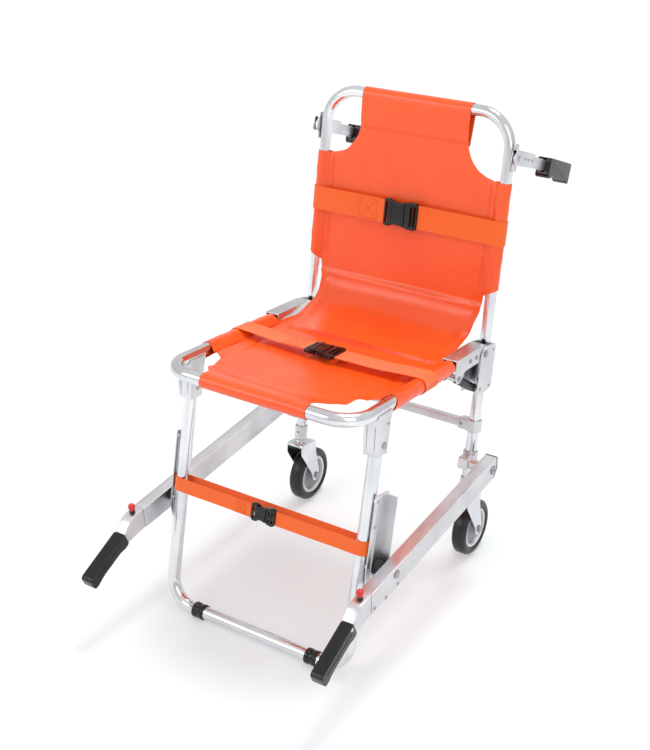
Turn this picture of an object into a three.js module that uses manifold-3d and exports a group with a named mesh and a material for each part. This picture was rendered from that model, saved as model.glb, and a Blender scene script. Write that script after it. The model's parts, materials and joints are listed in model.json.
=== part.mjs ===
// Folding evacuation chair: an inverted-U back frame on two casters, a U seat frame, a U front leg,
// two lower carrying rails with folding handles, and a fabric sling with three buckled straps.
// Millimetres, +Z up, floor at z = 0, the occupant faces -Y. "left" is -X and "right" is +X.
import * as THREE from "three";
import { mergeVertices } from "three/addons/utils/BufferGeometryUtils.js";
import Module from "manifold-3d";

const wasm = await Module();
wasm.setup();

// ---------------------------------------------------------------- driving dimensions

const HALF_TRACK = 200; // middle of the chair to the middle of every side tube
const FIT_GAP = 0.4; // clearance between pieces that touch or seat in each other
const PIN_RADIUS = 4;
const PIN_PLAY = 0.3;
const SMALL_PIN = 3; // the brace's pins
const CURVE_STEPS = 5; // facets on a fabric's rounded corner

const CASTER = {
  wheelRadius: 59,
  tyreWidth: 31,
  rimRadius: 42,
  trail: 46, // wheel centre behind the swivel axis
  crownClearance: 22, // from the top of the tyre to the underside of the fork's crown
  crown: 7,
  stemRadius: 6,
  stemLength: 42,
  forkInner: 18,
  forkWall: 2.5,
  axle: 5,
};

const RECLINE = Math.atan(0.16);

// The wheel stands on the floor, in the back frame's own axes.
const WHEEL = {
  y: CASTER.trail,
  z: (CASTER.wheelRadius + CASTER.trail * Math.sin(RECLINE)) / Math.cos(RECLINE),
};
const CROWN_LOW = WHEEL.z + CASTER.wheelRadius + CASTER.crownClearance;
const CROWN_TOP = CROWN_LOW + CASTER.crown;

const BACK = {
  footY: 117.8, // where the line of the uprights meets the floor
  tubeRadius: 11,
  wall: 1.5,
  lowEnd: CROWN_TOP + 12, // lengths along the uprights, measured from the floor
  top: 911.5,
  bendRadius: 66,
};

const SEAT = {
  slope: Math.atan(0.094),
  tubeRadius: 12.5,
  wall: 1.6,
  reach: 454, // hinge to the middle of the front bar
  rise: 3, // tube line above the hinge
  rearEnd: -20,
  bendRadius: 55,
};

const LEG = {
  lean: Math.atan(0.223),
  tubeRadius: 12.5,
  wall: 1.6,
  topEnd: 14, // above its hinge pin
  bendRadius: 53,
  pinInset: 81.3, // the hinge pin behind the middle of the seat's front bar
  pinDrop: 58.1,
};
const FOOT = { wall: 2.1, length: 25, inset: 83.5 }; // inset from the side tube to its inner end
const FOOT_RADIUS = LEG.tubeRadius + FIT_GAP + FOOT.wall; // the feet carry the chair

// The flat channel over each rear end of the seat tube.
const END_CHANNEL = { wall: 2.1, front: 116, tubeClearance: 3 };
const END_CHANNEL_HALF = SEAT.tubeRadius + FIT_GAP + END_CHANNEL.wall;
const END_CHANNEL_REAR = SEAT.rise + END_CHANNEL_HALF - 1;

const SEAT_HINGE = {
  y: -(BACK.tubeRadius + END_CHANNEL_REAR + END_CHANNEL.tubeClearance),
  z: 464,
}; // in the back frame's own axes
const RAIL_HINGE = { y: -24.4, z: 233 };
const LEG_HINGE = { y: LEG.pinInset - SEAT.reach, z: -LEG.pinDrop }; // in the seat's own axes
const BRACE_FOOT = { y: SEAT_HINGE.y - 5, z: SEAT_HINGE.z - 71 }; // back frame axes
const BRACE_HEAD = { y: 16 - END_CHANNEL.front, z: -22 }; // seat axes

// The pressed channel on each upright that carries the seat hinge pin.
const HINGE_CHANNEL = {
  wall: 2.8,
  rearWall: 3.1,
  play: 0.6, // beside the seat's end channel
  low: BRACE_FOOT.z - 13,
  high: SEAT_HINGE.z + 16,
};
const HINGE_CHANNEL_HALF = END_CHANNEL_HALF + HINGE_CHANNEL.play + HINGE_CHANNEL.wall;
const HINGE_CHANNEL_REAR = BACK.tubeRadius + FIT_GAP + HINGE_CHANNEL.rearWall;

const KNOB = { z: BRACE_FOOT.z + 19, radius: 6.5, shank: 2.6, length: 15 };

const LEG_BLOCK = { front: 22, rear: 16, low: 18, headroom: 21, wall: 2, play: 0.5 };

const BRACE = { cylinderRadius: 8.5, boreRadius: 6.6, rodRadius: 3, cylinder: 86, rod: 94, eye: 7 };

// The channel beside the leg stands off it, so that the leg strap passes behind it.
const TRACK = {
  standoff: 3.7,
  depth: 20.3,
  wall: 2.2,
  rollerRadius: 14.5,
  rollerPlay: 0.7,
  high: -90,
  lip: 4.5, // depth of the front flange
  belowRoller: 51.3,
};
const TRACK_INNER = HALF_TRACK + LEG.tubeRadius + TRACK.standoff;
const TRACK_OUTER = TRACK_INNER + TRACK.depth;

const RAIL = {
  droop: Math.atan(0.079),
  inner: TRACK_OUTER + 1.5,
  width: 25,
  height: 42,
  wall: 2,
  rearEnd: 20, // behind its pivot
  nose: 83.86, // in front of the roller
};
const ROLLER = {
  pin: 4.5,
  head: 8,
  inner: TRACK_INNER + TRACK.wall + 1.2,
  outer: TRACK_OUTER - 2,
};

const CLAMP = { wall: 4, height: 26 };
const CLAMP_RADIUS = BACK.tubeRadius + CLAMP.wall;
// The cast clamp round each upright on which the rail turns.
const RAIL_CLAMP = {
  half: 17,
  earFront: RAIL_HINGE.y - 13.6,
  earOuter: HALF_TRACK + CLAMP_RADIUS - 1,
  bossRadius: 10,
  studRadius: 6,
};
const CROSSBAR = { middle: RAIL_HINGE.z + 70.8, size: 16, wall: 2, socketWall: 3, socket: 16 };
const CASTER_CUP = { wall: 2, floor: 5, top: RAIL_HINGE.z - 39 };

const BACK_FABRIC = {
  thickness: 3,
  sleeve: 1.6,
  flapInset: 83, // insets from the middle of the side tube, drops from the middle of the top bar
  flapDrop: 73.5,
  sleeveDrop: 123.5,
  sleeveLow: SEAT_HINGE.z + 113,
  bottom: SEAT_HINGE.z + 83,
  bottomInset: 17,
};

const SEAT_FABRIC = {
  thickness: 3,
  sleeve: 1.6,
  frontInset: 89,
  notchInset: 56,
  notchFront: 46 - SEAT.reach,
  sleeveFront: 129 - SEAT.reach,
  rear: -END_CHANNEL.front - 1.5,
};

const SLING = { inset: 24, thickness: 2.4, backHandle: 45, seatHandle: 70, steps: 9 };

const STRAP_THICKNESS = 1.5;
const STRAPS = {
  chest: { middle: BACK.top - 218.8, width: 47, from: -42, to: 32, joint: 4, dip: 0, depth: 12 },
  lap: { middle: -212, width: 45, from: -45, to: 21, joint: -5, dip: 6, depth: 11 },
  leg: { middle: -191.6, width: 27, from: -29, to: 24, joint: 4, dip: 0, depth: 12 },
};
const DIP = { shoulder: 36, rise: 0.25, low: 90, ease: 30 }; // how a slack strap comes down

const REAR_HANDLE = {
  pivot: BACK.top - 75.5, // along the upright
  drop: THREE.MathUtils.degToRad(20),
  barInner: HALF_TRACK + BACK.tubeRadius + 2.7,
  barWidth: 6,
  barHeight: 26,
  barLength: 226,
  gripFrom: 134,
  gripTo: 244,
  gripHalf: 14,
  bracketLength: 72,
  bracketWall: 1.8,
  plateHalf: 26, // half the height of the plate along the upright
};

const FRONT_HANDLE = {
  pivotDrop: RAIL.height / 2 + 0.5, // the hinge line runs along the rail's lower front edge
  sideInset: 1.2,
  gripDrop: 12.5, // start of the grip below the middle of the rail
  gripFrom: 54,
  gripLength: 110,
  barInGrip: 88,
  core: 8, // half the side of the bar inside the grip
  gripAngle: THREE.MathUtils.degToRad(20), // below the line of the rail
  gripWidth: RAIL.width + 2,
};

// The pull knob with a ball head that stands on top of the front handle bar.
const PLUNGER = { y: -18, ball: 7, shank: 3.2, neck: 10, skirt: 5.5 };

// ---------------------------------------------------------------- solids

function toSolid(geometry) {
  const flat = geometry.index ? geometry.toNonIndexed() : geometry;
  const bare = new THREE.BufferGeometry();
  bare.setAttribute("position", flat.getAttribute("position"));
  const merged = mergeVertices(bare, 1e-4);
  const vertProperties = merged.attributes.position.array;
  const triVerts = new Uint32Array(merged.index.array);
  return new wasm.Manifold(new wasm.Mesh({ numProp: 3, vertProperties, triVerts }));
}

function toGeometry(solid) {
  const mesh = solid.getMesh();
  const geometry = new THREE.BufferGeometry();
  const positions = new Float32Array(mesh.vertProperties);
  geometry.setAttribute("position", new THREE.BufferAttribute(positions, 3));
  geometry.setIndex(new THREE.BufferAttribute(new Uint32Array(mesh.triVerts), 1));
  const flat = geometry.toNonIndexed();
  flat.computeVertexNormals();
  return flat;
}

function join(...pieces) {
  return toGeometry(pieces.map(toSolid).reduce((whole, piece) => whole.add(piece)));
}

function cut(body, ...tools) {
  return toGeometry(tools.map(toSolid).reduce((left, tool) => left.subtract(tool), toSolid(body)));
}

function mirrored(geometry) {
  const flat = geometry.index ? geometry.toNonIndexed() : geometry.clone();
  const place = flat.getAttribute("position");
  const turned = new Float32Array(place.array.length);
  for (let i = 0; i < place.count; i += 3) {
    [i, i + 2, i + 1].forEach((from, k) => {
      turned[3 * (i + k)] = -place.getX(from);
      turned[3 * (i + k) + 1] = place.getY(from);
      turned[3 * (i + k) + 2] = place.getZ(from);
    });
  }
  const geometryTurned = new THREE.BufferGeometry();
  geometryTurned.setAttribute("position", new THREE.BufferAttribute(turned, 3));
  geometryTurned.computeVertexNormals();
  return geometryTurned;
}

function box(x, y, z) {
  const geometry = new THREE.BoxGeometry(x[1] - x[0], y[1] - y[0], z[1] - z[0]);
  return geometry.translate((x[0] + x[1]) / 2, (y[0] + y[1]) / 2, (z[0] + z[1]) / 2);
}

// A round pin along X, Y or Z; across gives its place on the other two axes.
function pin(axis, radius, from, to, across, sides = 14) {
  const geometry = new THREE.CylinderGeometry(radius, radius, to - from, sides);
  const middle = (from + to) / 2;
  if (axis === "x") return geometry.rotateZ(-Math.PI / 2).translate(middle, across[0], across[1]);
  if (axis === "y") return geometry.translate(across[0], middle, across[1]);
  return geometry.rotateX(Math.PI / 2).translate(across[0], across[1], middle);
}

// A hollow collar along X, Y or Z.
function collar(axis, innerRadius, outerRadius, from, to, across, sides = 16) {
  const profile = [
    [innerRadius, from],
    [outerRadius, from],
    [outerRadius, to],
    [innerRadius, to],
    [innerRadius, from],
  ].map(([r, h]) => new THREE.Vector2(r, h));
  const geometry = new THREE.LatheGeometry(profile, sides);
  if (axis === "x") return geometry.rotateZ(-Math.PI / 2).translate(0, across[0], across[1]);
  if (axis === "y") return geometry.translate(across[0], 0, across[1]);
  return geometry.rotateX(Math.PI / 2).translate(across[0], across[1], 0);
}

// An outline whose corners are rounded; a corner is [a, b] or [a, b, radius].
function roundedOutline(corners, radius) {
  const shape = new THREE.Shape();
  corners.forEach(([a, b, own], i) => {
    const here = new THREE.Vector2(a, b);
    const before = new THREE.Vector2(...corners[(i + corners.length - 1) % corners.length]);
    const after = new THREE.Vector2(...corners[(i + 1) % corners.length]);
    const size = own ?? radius;
    const enter = here.clone().add(before.sub(here).setLength(size));
    const leave = here.clone().add(after.sub(here).setLength(size));
    if (i === 0) shape.moveTo(enter.x, enter.y);
    else shape.lineTo(enter.x, enter.y);
    if (size > 0) shape.quadraticCurveTo(a, b, leave.x, leave.y);
  });
  shape.closePath();
  return shape;
}

// Turns an outline drawn in X and Y into one in Y and Z, extruded along X.
const TO_SIDE = new THREE.Matrix4().makeBasis(
  new THREE.Vector3(0, 1, 0),
  new THREE.Vector3(0, 0, 1),
  new THREE.Vector3(1, 0, 0),
);

// A plate whose outline is drawn in Y and Z and that spans X from one side to the other.
function sidePlate(corners, x, radius = 0, curveSegments = 3) {
  const shape = roundedOutline(corners, radius);
  const options = { depth: x[1] - x[0], bevelEnabled: false, curveSegments };
  return new THREE.ExtrudeGeometry(shape, options).applyMatrix4(TO_SIDE).translate(x[0], 0, 0);
}

// The same with rounded edges, for moulded grips; the rounding stands outside the outline.
function mouldedSide(corners, x, radius, bevel) {
  const shape = roundedOutline(corners, radius);
  const options = {
    depth: x[1] - x[0] - 2 * bevel,
    bevelThickness: bevel,
    bevelSize: bevel,
    bevelSegments: 2,
    curveSegments: 3,
  };
  const geometry = new THREE.ExtrudeGeometry(shape, options);
  return geometry.applyMatrix4(TO_SIDE).translate(x[0] + bevel, 0, 0);
}

// A path that runs straight between its corners and turns each inner corner on an arc.
class BentPath extends THREE.Curve {
  constructor(corners, radius, stepsPerBend = 6) {
    super();
    this.stations = [];
    for (let i = 1; i < corners.length - 1; i++) {
      const into = corners[i].clone().sub(corners[i - 1]).normalize();
      const out = corners[i + 1].clone().sub(corners[i]).normalize();
      const turn = into.angleTo(out);
      const side = out.clone().addScaledVector(into, -Math.cos(turn)).normalize();
      const start = corners[i].clone().addScaledVector(into, -radius * Math.tan(turn / 2));
      if (i === 1) this.stations.push({ point: corners[0], tangent: into });
      for (let k = 0; k <= stepsPerBend; k++) {
        const t = (turn * k) / stepsPerBend;
        const point = start.clone().addScaledVector(into, radius * Math.sin(t));
        point.addScaledVector(side, radius * (1 - Math.cos(t)));
        const tangent = into.clone().multiplyScalar(Math.cos(t));
        tangent.addScaledVector(side, Math.sin(t));
        this.stations.push({ point, tangent });
      }
      if (i === corners.length - 2) {
        this.stations.push({ point: corners[corners.length - 1], tangent: out });
      }
    }
  }
  station(u) {
    return this.stations[Math.round(u * (this.stations.length - 1))];
  }
  getPointAt(u) {
    return this.station(u).point.clone();
  }
  getTangentAt(u) {
    return this.station(u).tangent.clone();
  }
}

// A round tube bent along a path, open at both ends.
function bentTube(corners, bendRadius, tubeRadius, wall, sides = 14) {
  const path = new BentPath(corners, bendRadius);
  const section = new THREE.Shape();
  section.absarc(0, 0, tubeRadius, 0, 2 * Math.PI);
  const bore = new THREE.Path();
  bore.absarc(0, 0, tubeRadius - wall, 0, 2 * Math.PI, true);
  section.holes.push(bore);
  const steps = path.stations.length - 1;
  const options = { steps, extrudePath: path, curveSegments: sides / 2 };
  return new THREE.ExtrudeGeometry(section, options);
}

// A band of even thickness along a line drawn in X and Y, standing along Z.
function band(line, thickness, width) {
  const side = (i) => {
    const before = line[Math.max(i - 1, 0)];
    const after = line[Math.min(i + 1, line.length - 1)];
    const along = after.clone().sub(before).normalize();
    return new THREE.Vector2(-along.y, along.x).multiplyScalar(thickness / 2);
  };
  const left = line.map((point, i) => point.clone().add(side(i)));
  const right = line.map((point, i) => point.clone().sub(side(i)));
  const shape = new THREE.Shape([...left, ...right.reverse()]);
  const geometry = new THREE.ExtrudeGeometry(shape, { depth: width, bevelEnabled: false });
  return geometry.translate(0, 0, -width / 2);
}

// ---------------------------------------------------------------- finishes

const finish = (color, roughness, metalness) => () =>
  new THREE.MeshStandardMaterial({ color, roughness, metalness });

const POLISHED_ALUMINIUM = finish(0xd9d9db, 0.22, 1);
const SATIN_ALUMINIUM = finish(0xcfcdcf, 0.42, 0.9);
const CHROME = finish(0xe4e4e6, 0.12, 1);
const BLACK_PLASTIC = finish(0x17181a, 0.5, 0);
const BLACK_RUBBER = finish(0x1d1e20, 0.8, 0);
const RED_PLASTIC = finish(0xc8141f, 0.3, 0);
const GREY_HUB = finish(0x8f9195, 0.5, 0);
const ORANGE_FABRIC = finish(0xf25a23, 0.35, 0);
const ORANGE_WEBBING = finish(0xf07030, 0.75, 0);

function add(group, name, geometry, material) {
  const mesh = new THREE.Mesh(geometry, material());
  mesh.name = name;
  group.add(mesh);
}

function addPair(group, name, rightGeometry, material) {
  add(group, name + "_right", rightGeometry, material);
  add(group, name + "_left", mirrored(rightGeometry), material);
}

// ---------------------------------------------------------------- frames of reference

const chair = new THREE.Group();
const back = new THREE.Group();
const seat = new THREE.Group();
const frontLeg = new THREE.Group();
const rails = new THREE.Group();
const frontHandles = new THREE.Group();
const rearHandles = new THREE.Group();
const braceCylinders = new THREE.Group();
const braceRods = new THREE.Group();

const toChair = (group, at) => {
  chair.updateMatrixWorld(true);
  return group.localToWorld(new THREE.Vector3(0, at.y, at.z));
};

back.position.y = BACK.footY;
back.rotation.x = -RECLINE;
chair.add(back);

const seatPivot = toChair(back, SEAT_HINGE);
seat.position.copy(seatPivot);
seat.rotation.x = -SEAT.slope;
chair.add(seat);

const legPivot = toChair(seat, LEG_HINGE);
frontLeg.position.copy(legPivot);
frontLeg.rotation.x = -LEG.lean;
chair.add(frontLeg);

const railPivot = toChair(back, RAIL_HINGE);
rails.position.copy(railPivot);
rails.rotation.x = RAIL.droop;
chair.add(rails);

// The four pivots stand at the corners of a parallelogram, so the rail meets the leg here.
const rollerPoint = legPivot.clone().add(railPivot).sub(seatPivot);
chair.updateMatrixWorld(true);
const rollerOnLeg = frontLeg.worldToLocal(rollerPoint.clone());
const rollerOnRail = rails.worldToLocal(rollerPoint.clone());

const railFront = rollerOnRail.y - RAIL.nose;
frontHandles.position.set(0, railFront, -FRONT_HANDLE.pivotDrop);
rails.add(frontHandles);

rearHandles.position.copy(toChair(back, { y: 0, z: REAR_HANDLE.pivot }));
rearHandles.rotation.x = -REAR_HANDLE.drop;
chair.add(rearHandles);

// The brace runs from its foot on the back frame to its head under the seat rail.
const braceFoot = toChair(back, BRACE_FOOT);
const braceHead = toChair(seat, BRACE_HEAD);
const braceSpan = braceHead.clone().sub(braceFoot);
const braceTurn = Math.atan2(-braceSpan.y, braceSpan.z);
braceCylinders.position.copy(braceFoot);
braceCylinders.rotation.x = braceTurn;
braceRods.position.copy(braceHead);
braceRods.rotation.x = braceTurn;
chair.add(braceCylinders, braceRods);

// ---------------------------------------------------------------- back frame

function backFrameTube() {
  const corners = [
    new THREE.Vector3(-HALF_TRACK, 0, BACK.lowEnd),
    new THREE.Vector3(-HALF_TRACK, 0, BACK.top),
    new THREE.Vector3(HALF_TRACK, 0, BACK.top),
    new THREE.Vector3(HALF_TRACK, 0, BACK.lowEnd),
  ];
  return bentTube(corners, BACK.bendRadius, BACK.tubeRadius, BACK.wall);
}

// A pressed channel that clasps the upright and carries the seat hinge pin and the brace pin.
function hingeBracket() {
  const { wall, low, high } = HINGE_CHANNEL;
  const half = HINGE_CHANNEL_HALF;
  const rear = HINGE_CHANNEL_REAR;
  const front = BRACE_FOOT.y - 9;
  const sides = [HALF_TRACK - half, HALF_TRACK + half];
  const outline = [
    [rear, low + 8, 6],
    [rear, high - 4, 8],
    [SEAT_HINGE.y, high, 8],
    [SEAT_HINGE.y - 15, high - 14, 8],
    [SEAT_HINGE.y - 15, high - 40, 12],
    [front, BRACE_FOOT.z + 12, 4],
    [front, low + 2, 6],
    [-10, low, 6],
  ];
  const inside = [sides[0] + wall, sides[1] - wall];
  const hollow = box(inside, [front - 20, BACK.tubeRadius + FIT_GAP], [low - 5, high + 5]);
  const knobHole = pin("y", KNOB.shank + PIN_PLAY, 5, rear + 5, [HALF_TRACK, KNOB.z]);
  const channel = cut(sidePlate(outline, sides), hollow, knobHole);
  const seatPin = pin("x", PIN_RADIUS, sides[0] - 1, sides[1] + 3, [SEAT_HINGE.y, SEAT_HINGE.z]);
  const seatPinHead = pin("x", 7, sides[1], sides[1] + 3, [SEAT_HINGE.y, SEAT_HINGE.z], 12);
  const braceAt = [BRACE_FOOT.y, BRACE_FOOT.z];
  const bracePin = pin("x", SMALL_PIN, sides[0] - 1, sides[1] + 2, braceAt, 12);
  return join(channel, seatPin, seatPinHead, bracePin);
}

function releaseKnob() {
  const face = HINGE_CHANNEL_REAR + FIT_GAP;
  const head = pin("y", KNOB.radius, face, face + KNOB.length, [HALF_TRACK, KNOB.z]);
  const shank = pin("y", KNOB.shank, BACK.tubeRadius + 1, face + 1, [HALF_TRACK, KNOB.z], 12);
  return join(head, shank);
}

// A cast clamp round the upright, with an ear and a long stud on which the rail turns.
function railBracket() {
  const { half, earFront, earOuter, bossRadius, studRadius } = RAIL_CLAMP;
  const centre = [RAIL_HINGE.y, RAIL_HINGE.z];
  const bore = BACK.tubeRadius + FIT_GAP;
  const low = RAIL_HINGE.z - half;
  const high = RAIL_HINGE.z + half;
  const clamp = pin("z", CLAMP_RADIUS, low, high, [HALF_TRACK, 0], 20);
  const earOutline = [
    [0, low + 4],
    [0, high - 4],
    [-16, high - 4],
    [earFront, RAIL_HINGE.z + 12],
    [earFront, RAIL_HINGE.z - 12],
    [-16, low + 4],
  ];
  const ear = sidePlate(earOutline, [HALF_TRACK - 8, earOuter], 3, 3);
  const boss = pin("x", bossRadius, earOuter - 1, RAIL.inner - FIT_GAP, centre);
  const railOuter = RAIL.inner + RAIL.width;
  const stud = pin("x", studRadius, earOuter, railOuter + 2, centre);
  const head = pin("x", 9, railOuter + FIT_GAP, railOuter + 4, centre, 12);
  const body = join(clamp, ear, boss, stud, head);
  return cut(body, pin("z", bore, low - 5, high + 5, [HALF_TRACK, 0], 20));
}

function crossbar() {
  const half = CROSSBAR.size / 2;
  const end = HALF_TRACK - BACK.tubeRadius - 3;
  const z = [CROSSBAR.middle - half, CROSSBAR.middle + half];
  const wall = CROSSBAR.wall;
  const bar = box([-end, end], [-half, half], z);
  const hollow = box([-end - 1, end + 1], [wall - half, half - wall], [z[0] + wall, z[1] - wall]);
  return cut(bar, hollow);
}

// A sleeve round the upright with a socket for the end of the crossbar.
function crossbarClamp() {
  const half = CROSSBAR.size / 2;
  const low = CROSSBAR.middle - CLAMP.height / 2;
  const high = CROSSBAR.middle + CLAMP.height / 2;
  const sleeve = pin("z", CLAMP_RADIUS, low, high, [HALF_TRACK, 0], 20);
  const outer = half + CROSSBAR.socketWall;
  const reach = HALF_TRACK - CLAMP_RADIUS - CROSSBAR.socket;
  const socketZ = [CROSSBAR.middle - outer, CROSSBAR.middle + outer];
  const socket = box([reach, HALF_TRACK], [-outer, outer], socketZ);
  const slack = half + FIT_GAP;
  const slotZ = [CROSSBAR.middle - slack, CROSSBAR.middle + slack];
  const slot = box([reach - 2, HALF_TRACK - BACK.tubeRadius - 2], [-slack, slack], slotZ);
  const bore = pin("z", BACK.tubeRadius + FIT_GAP, low - 5, high + 5, [HALF_TRACK, 0], 20);
  return cut(join(sleeve, socket), slot, bore);
}

// The cup at the foot of the upright, with the bore that the caster stem turns in.
function casterSocket() {
  const bore = CASTER.stemRadius + PIN_PLAY;
  const inside = BACK.tubeRadius + FIT_GAP;
  const outside = inside + CASTER_CUP.wall;
  const low = BACK.lowEnd - CASTER_CUP.floor;
  const profile = [
    [bore, low],
    [outside, low],
    [outside, CASTER_CUP.top],
    [inside, CASTER_CUP.top],
    [inside, BACK.lowEnd - FIT_GAP],
    [bore, BACK.lowEnd - FIT_GAP],
    [bore, low],
  ].map(([r, h]) => new THREE.Vector2(r, h));
  const cup = new THREE.LatheGeometry(profile, 20);
  return cup.rotateX(Math.PI / 2).translate(HALF_TRACK, 0, 0);
}

// ---------------------------------------------------------------- casters

function casterFork() {
  const { forkInner, forkWall, stemRadius, stemLength } = CASTER;
  const outer = forkInner + forkWall;
  const low = CROWN_LOW;
  const high = CROWN_TOP;
  const across = [HALF_TRACK - outer, HALF_TRACK + outer];
  const cheek = [
    [-21, high, 8],
    [-21, low - 16, 8],
    [WHEEL.y - 14, WHEEL.z + 4, 10],
    [WHEEL.y - 8, WHEEL.z - 13, 6],
    [WHEEL.y + 7, WHEEL.z - 12, 6],
    [WHEEL.y + 12, WHEEL.z + 8, 8],
    [36, low - 18, 10],
    [34, high, 8],
  ];
  const inside = [HALF_TRACK - forkInner, HALF_TRACK + forkInner];
  const body = cut(sidePlate(cheek, across), box(inside, [-40, 80], [0, low]));
  const raceTop = BACK.lowEnd - CASTER_CUP.floor - FIT_GAP;
  const race = pin("z", 13.5, high - 1, raceTop, [HALF_TRACK, 0]);
  const stem = pin("z", stemRadius, high, high + stemLength, [HALF_TRACK, 0]);
  const place = [WHEEL.y, WHEEL.z];
  const axle = pin("x", CASTER.axle, across[0] - 1, across[1] + 1, place);
  const nuts = [across[0] - 5, across[1]].map((x) => pin("x", 8, x, x + 5, place, 6));
  return join(body, race, stem, axle, ...nuts);
}

function wheelProfile(points) {
  const profile = points.map(([r, h]) => new THREE.Vector2(r, h));
  profile.push(profile[0].clone());
  const wheel = new THREE.LatheGeometry(profile, 24);
  return wheel.rotateZ(-Math.PI / 2).translate(HALF_TRACK, WHEEL.y, WHEEL.z);
}

function casterTyre() {
  const { wheelRadius, tyreWidth, rimRadius } = CASTER;
  const half = tyreWidth / 2;
  return wheelProfile([
    [rimRadius + FIT_GAP, -half + 3],
    [rimRadius + 4, -half],
    [wheelRadius - 9, -half],
    [wheelRadius - 3, -half + 4],
    [wheelRadius, -half + 11],
    [wheelRadius, half - 11],
    [wheelRadius - 3, half - 4],
    [wheelRadius - 9, half],
    [rimRadius + 4, half],
    [rimRadius + FIT_GAP, half - 3],
  ]);
}

function casterHub() {
  const { tyreWidth, rimRadius, forkInner } = CASTER;
  const half = tyreWidth / 2;
  const bore = CASTER.axle + PIN_PLAY;
  const nose = forkInner - FIT_GAP;
  return wheelProfile([
    [bore, -nose],
    [11, -nose],
    [12, -8],
    [rimRadius - 7, -8],
    [rimRadius - 5, -half + 2],
    [rimRadius, -half + 2],
    [rimRadius, half - 2],
    [rimRadius - 5, half - 2],
    [rimRadius - 7, 8],
    [12, 8],
    [11, nose],
    [bore, nose],
  ]);
}

// ---------------------------------------------------------------- rear handles

// An inverted channel on the outside of the upright that stops the bar from rising.
function rearHandleBracket() {
  const { barInner, barWidth, barHeight, bracketLength } = REAR_HANDLE;
  const half = barHeight / 2;
  const wall = REAR_HANDLE.bracketWall;
  const x = [barInner - FIT_GAP - wall, barInner + barWidth + FIT_GAP + wall];
  const outline = [
    [-17, -half, 6],
    [bracketLength, -half + 4, 4],
    [bracketLength, half + FIT_GAP + wall, 4],
    [-17, half + FIT_GAP + wall, 6],
  ];
  const inside = [x[0] + wall, x[1] - wall];
  const slot = box(inside, [-30, bracketLength + 20], [-half - 10, half + FIT_GAP]);
  const shell = cut(sidePlate(outline, x), slot);
  const plateOutline = [
    [-10, -REAR_HANDLE.plateHalf],
    [10, -REAR_HANDLE.plateHalf],
    [10, REAR_HANDLE.plateHalf],
    [-10, REAR_HANDLE.plateHalf],
  ];
  const plate = sidePlate(plateOutline, [x[0], x[0] + wall], 4);
  plate.rotateX(REAR_HANDLE.drop - RECLINE);
  const bolt = pin("x", PIN_RADIUS, x[0], x[1] + 3, [0, 0]);
  const head = pin("x", 7, x[1] - 0.5, x[1] + 3.5, [0, 0], 6);
  return join(shell, plate, bolt, head);
}

function rearHandleBar() {
  const { barInner, barWidth, barHeight, barLength } = REAR_HANDLE;
  const half = barHeight / 2;
  const outline = [
    [0, -half, 0],
    [barLength, -half + 4, 4],
    [barLength, half - 4, 4],
    [0, half, 0],
  ];
  const x = [barInner, barInner + barWidth];
  const bar = join(sidePlate(outline, x), pin("x", half, x[0], x[1], [0, 0], 20));
  const bolt = pin("x", PIN_RADIUS + PIN_PLAY, barInner - 5, barInner + barWidth + 5, [0, 0]);
  return cut(bar, bolt);
}

function rearGrip() {
  const { barInner, barWidth, barHeight, barLength, gripFrom, gripTo } = REAR_HANDLE;
  const middle = barInner + barWidth / 2;
  const half = REAR_HANDLE.gripHalf;
  const outline = [
    [gripFrom, 16, 3],
    [gripFrom, -19, 3],
    [gripFrom + 8, -24, 3],
    [gripFrom + 20, -17, 6],
    [gripTo - 22, -17, 6],
    [gripTo - 8, -26, 4],
    [gripTo, -24, 3],
    [gripTo, 15, 4],
  ];
  const grip = mouldedSide(outline, [middle - half, middle + half], 3, 2);
  const slackX = [barInner - FIT_GAP, barInner + barWidth + FIT_GAP];
  const slack = barHeight / 2 + FIT_GAP;
  const slot = box(slackX, [gripFrom - 5, barLength + FIT_GAP], [-slack, slack]);
  return cut(grip, slot);
}

// ---------------------------------------------------------------- seat

function seatFrameTube() {
  const corners = [
    new THREE.Vector3(-HALF_TRACK, SEAT.rearEnd, SEAT.rise),
    new THREE.Vector3(-HALF_TRACK, -SEAT.reach, SEAT.rise),
    new THREE.Vector3(HALF_TRACK, -SEAT.reach, SEAT.rise),
    new THREE.Vector3(HALF_TRACK, SEAT.rearEnd, SEAT.rise),
  ];
  return bentTube(corners, SEAT.bendRadius, SEAT.tubeRadius, SEAT.wall);
}

// The flat channel over the rear end of the seat rail, which turns on the hinge pin.
function seatEndChannel() {
  const inside = SEAT.tubeRadius + FIT_GAP;
  const half = END_CHANNEL_HALF;
  const top = SEAT.rise + half;
  const front = -END_CHANNEL.front;
  const rear = END_CHANNEL_REAR;
  const outline = [
    [front, top, 2],
    [0, top, 10],
    [rear, top - 6, 8],
    [rear, -10, 8],
    [4, -16, 6],
    [-20, -13, 4],
    [BRACE_HEAD.y + 22, -13, 8],
    [BRACE_HEAD.y + 8, BRACE_HEAD.z - 9, 5],
    [BRACE_HEAD.y - 8, BRACE_HEAD.z - 9, 5],
    [front, -13, 3],
  ];
  const hollowX = [HALF_TRACK - inside, HALF_TRACK + inside];
  const hollow = box(hollowX, [front - 5, 40], [BRACE_HEAD.z - 20, top - END_CHANNEL.wall]);
  const x = [HALF_TRACK - half, HALF_TRACK + half];
  const bore = pin("x", PIN_RADIUS + PIN_PLAY, x[0] - 2, x[1] + 2, [0, 0]);
  const channel = cut(sidePlate(outline, x), hollow, bore);
  const head = [BRACE_HEAD.y, BRACE_HEAD.z];
  const bracePin = pin("x", SMALL_PIN, x[0], x[1] + 1, head, 12);
  const boltHead = pin("x", 5.5, x[1] - 0.5, x[1] + 3, head, 12);
  return join(channel, bracePin, boltHead);
}

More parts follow.
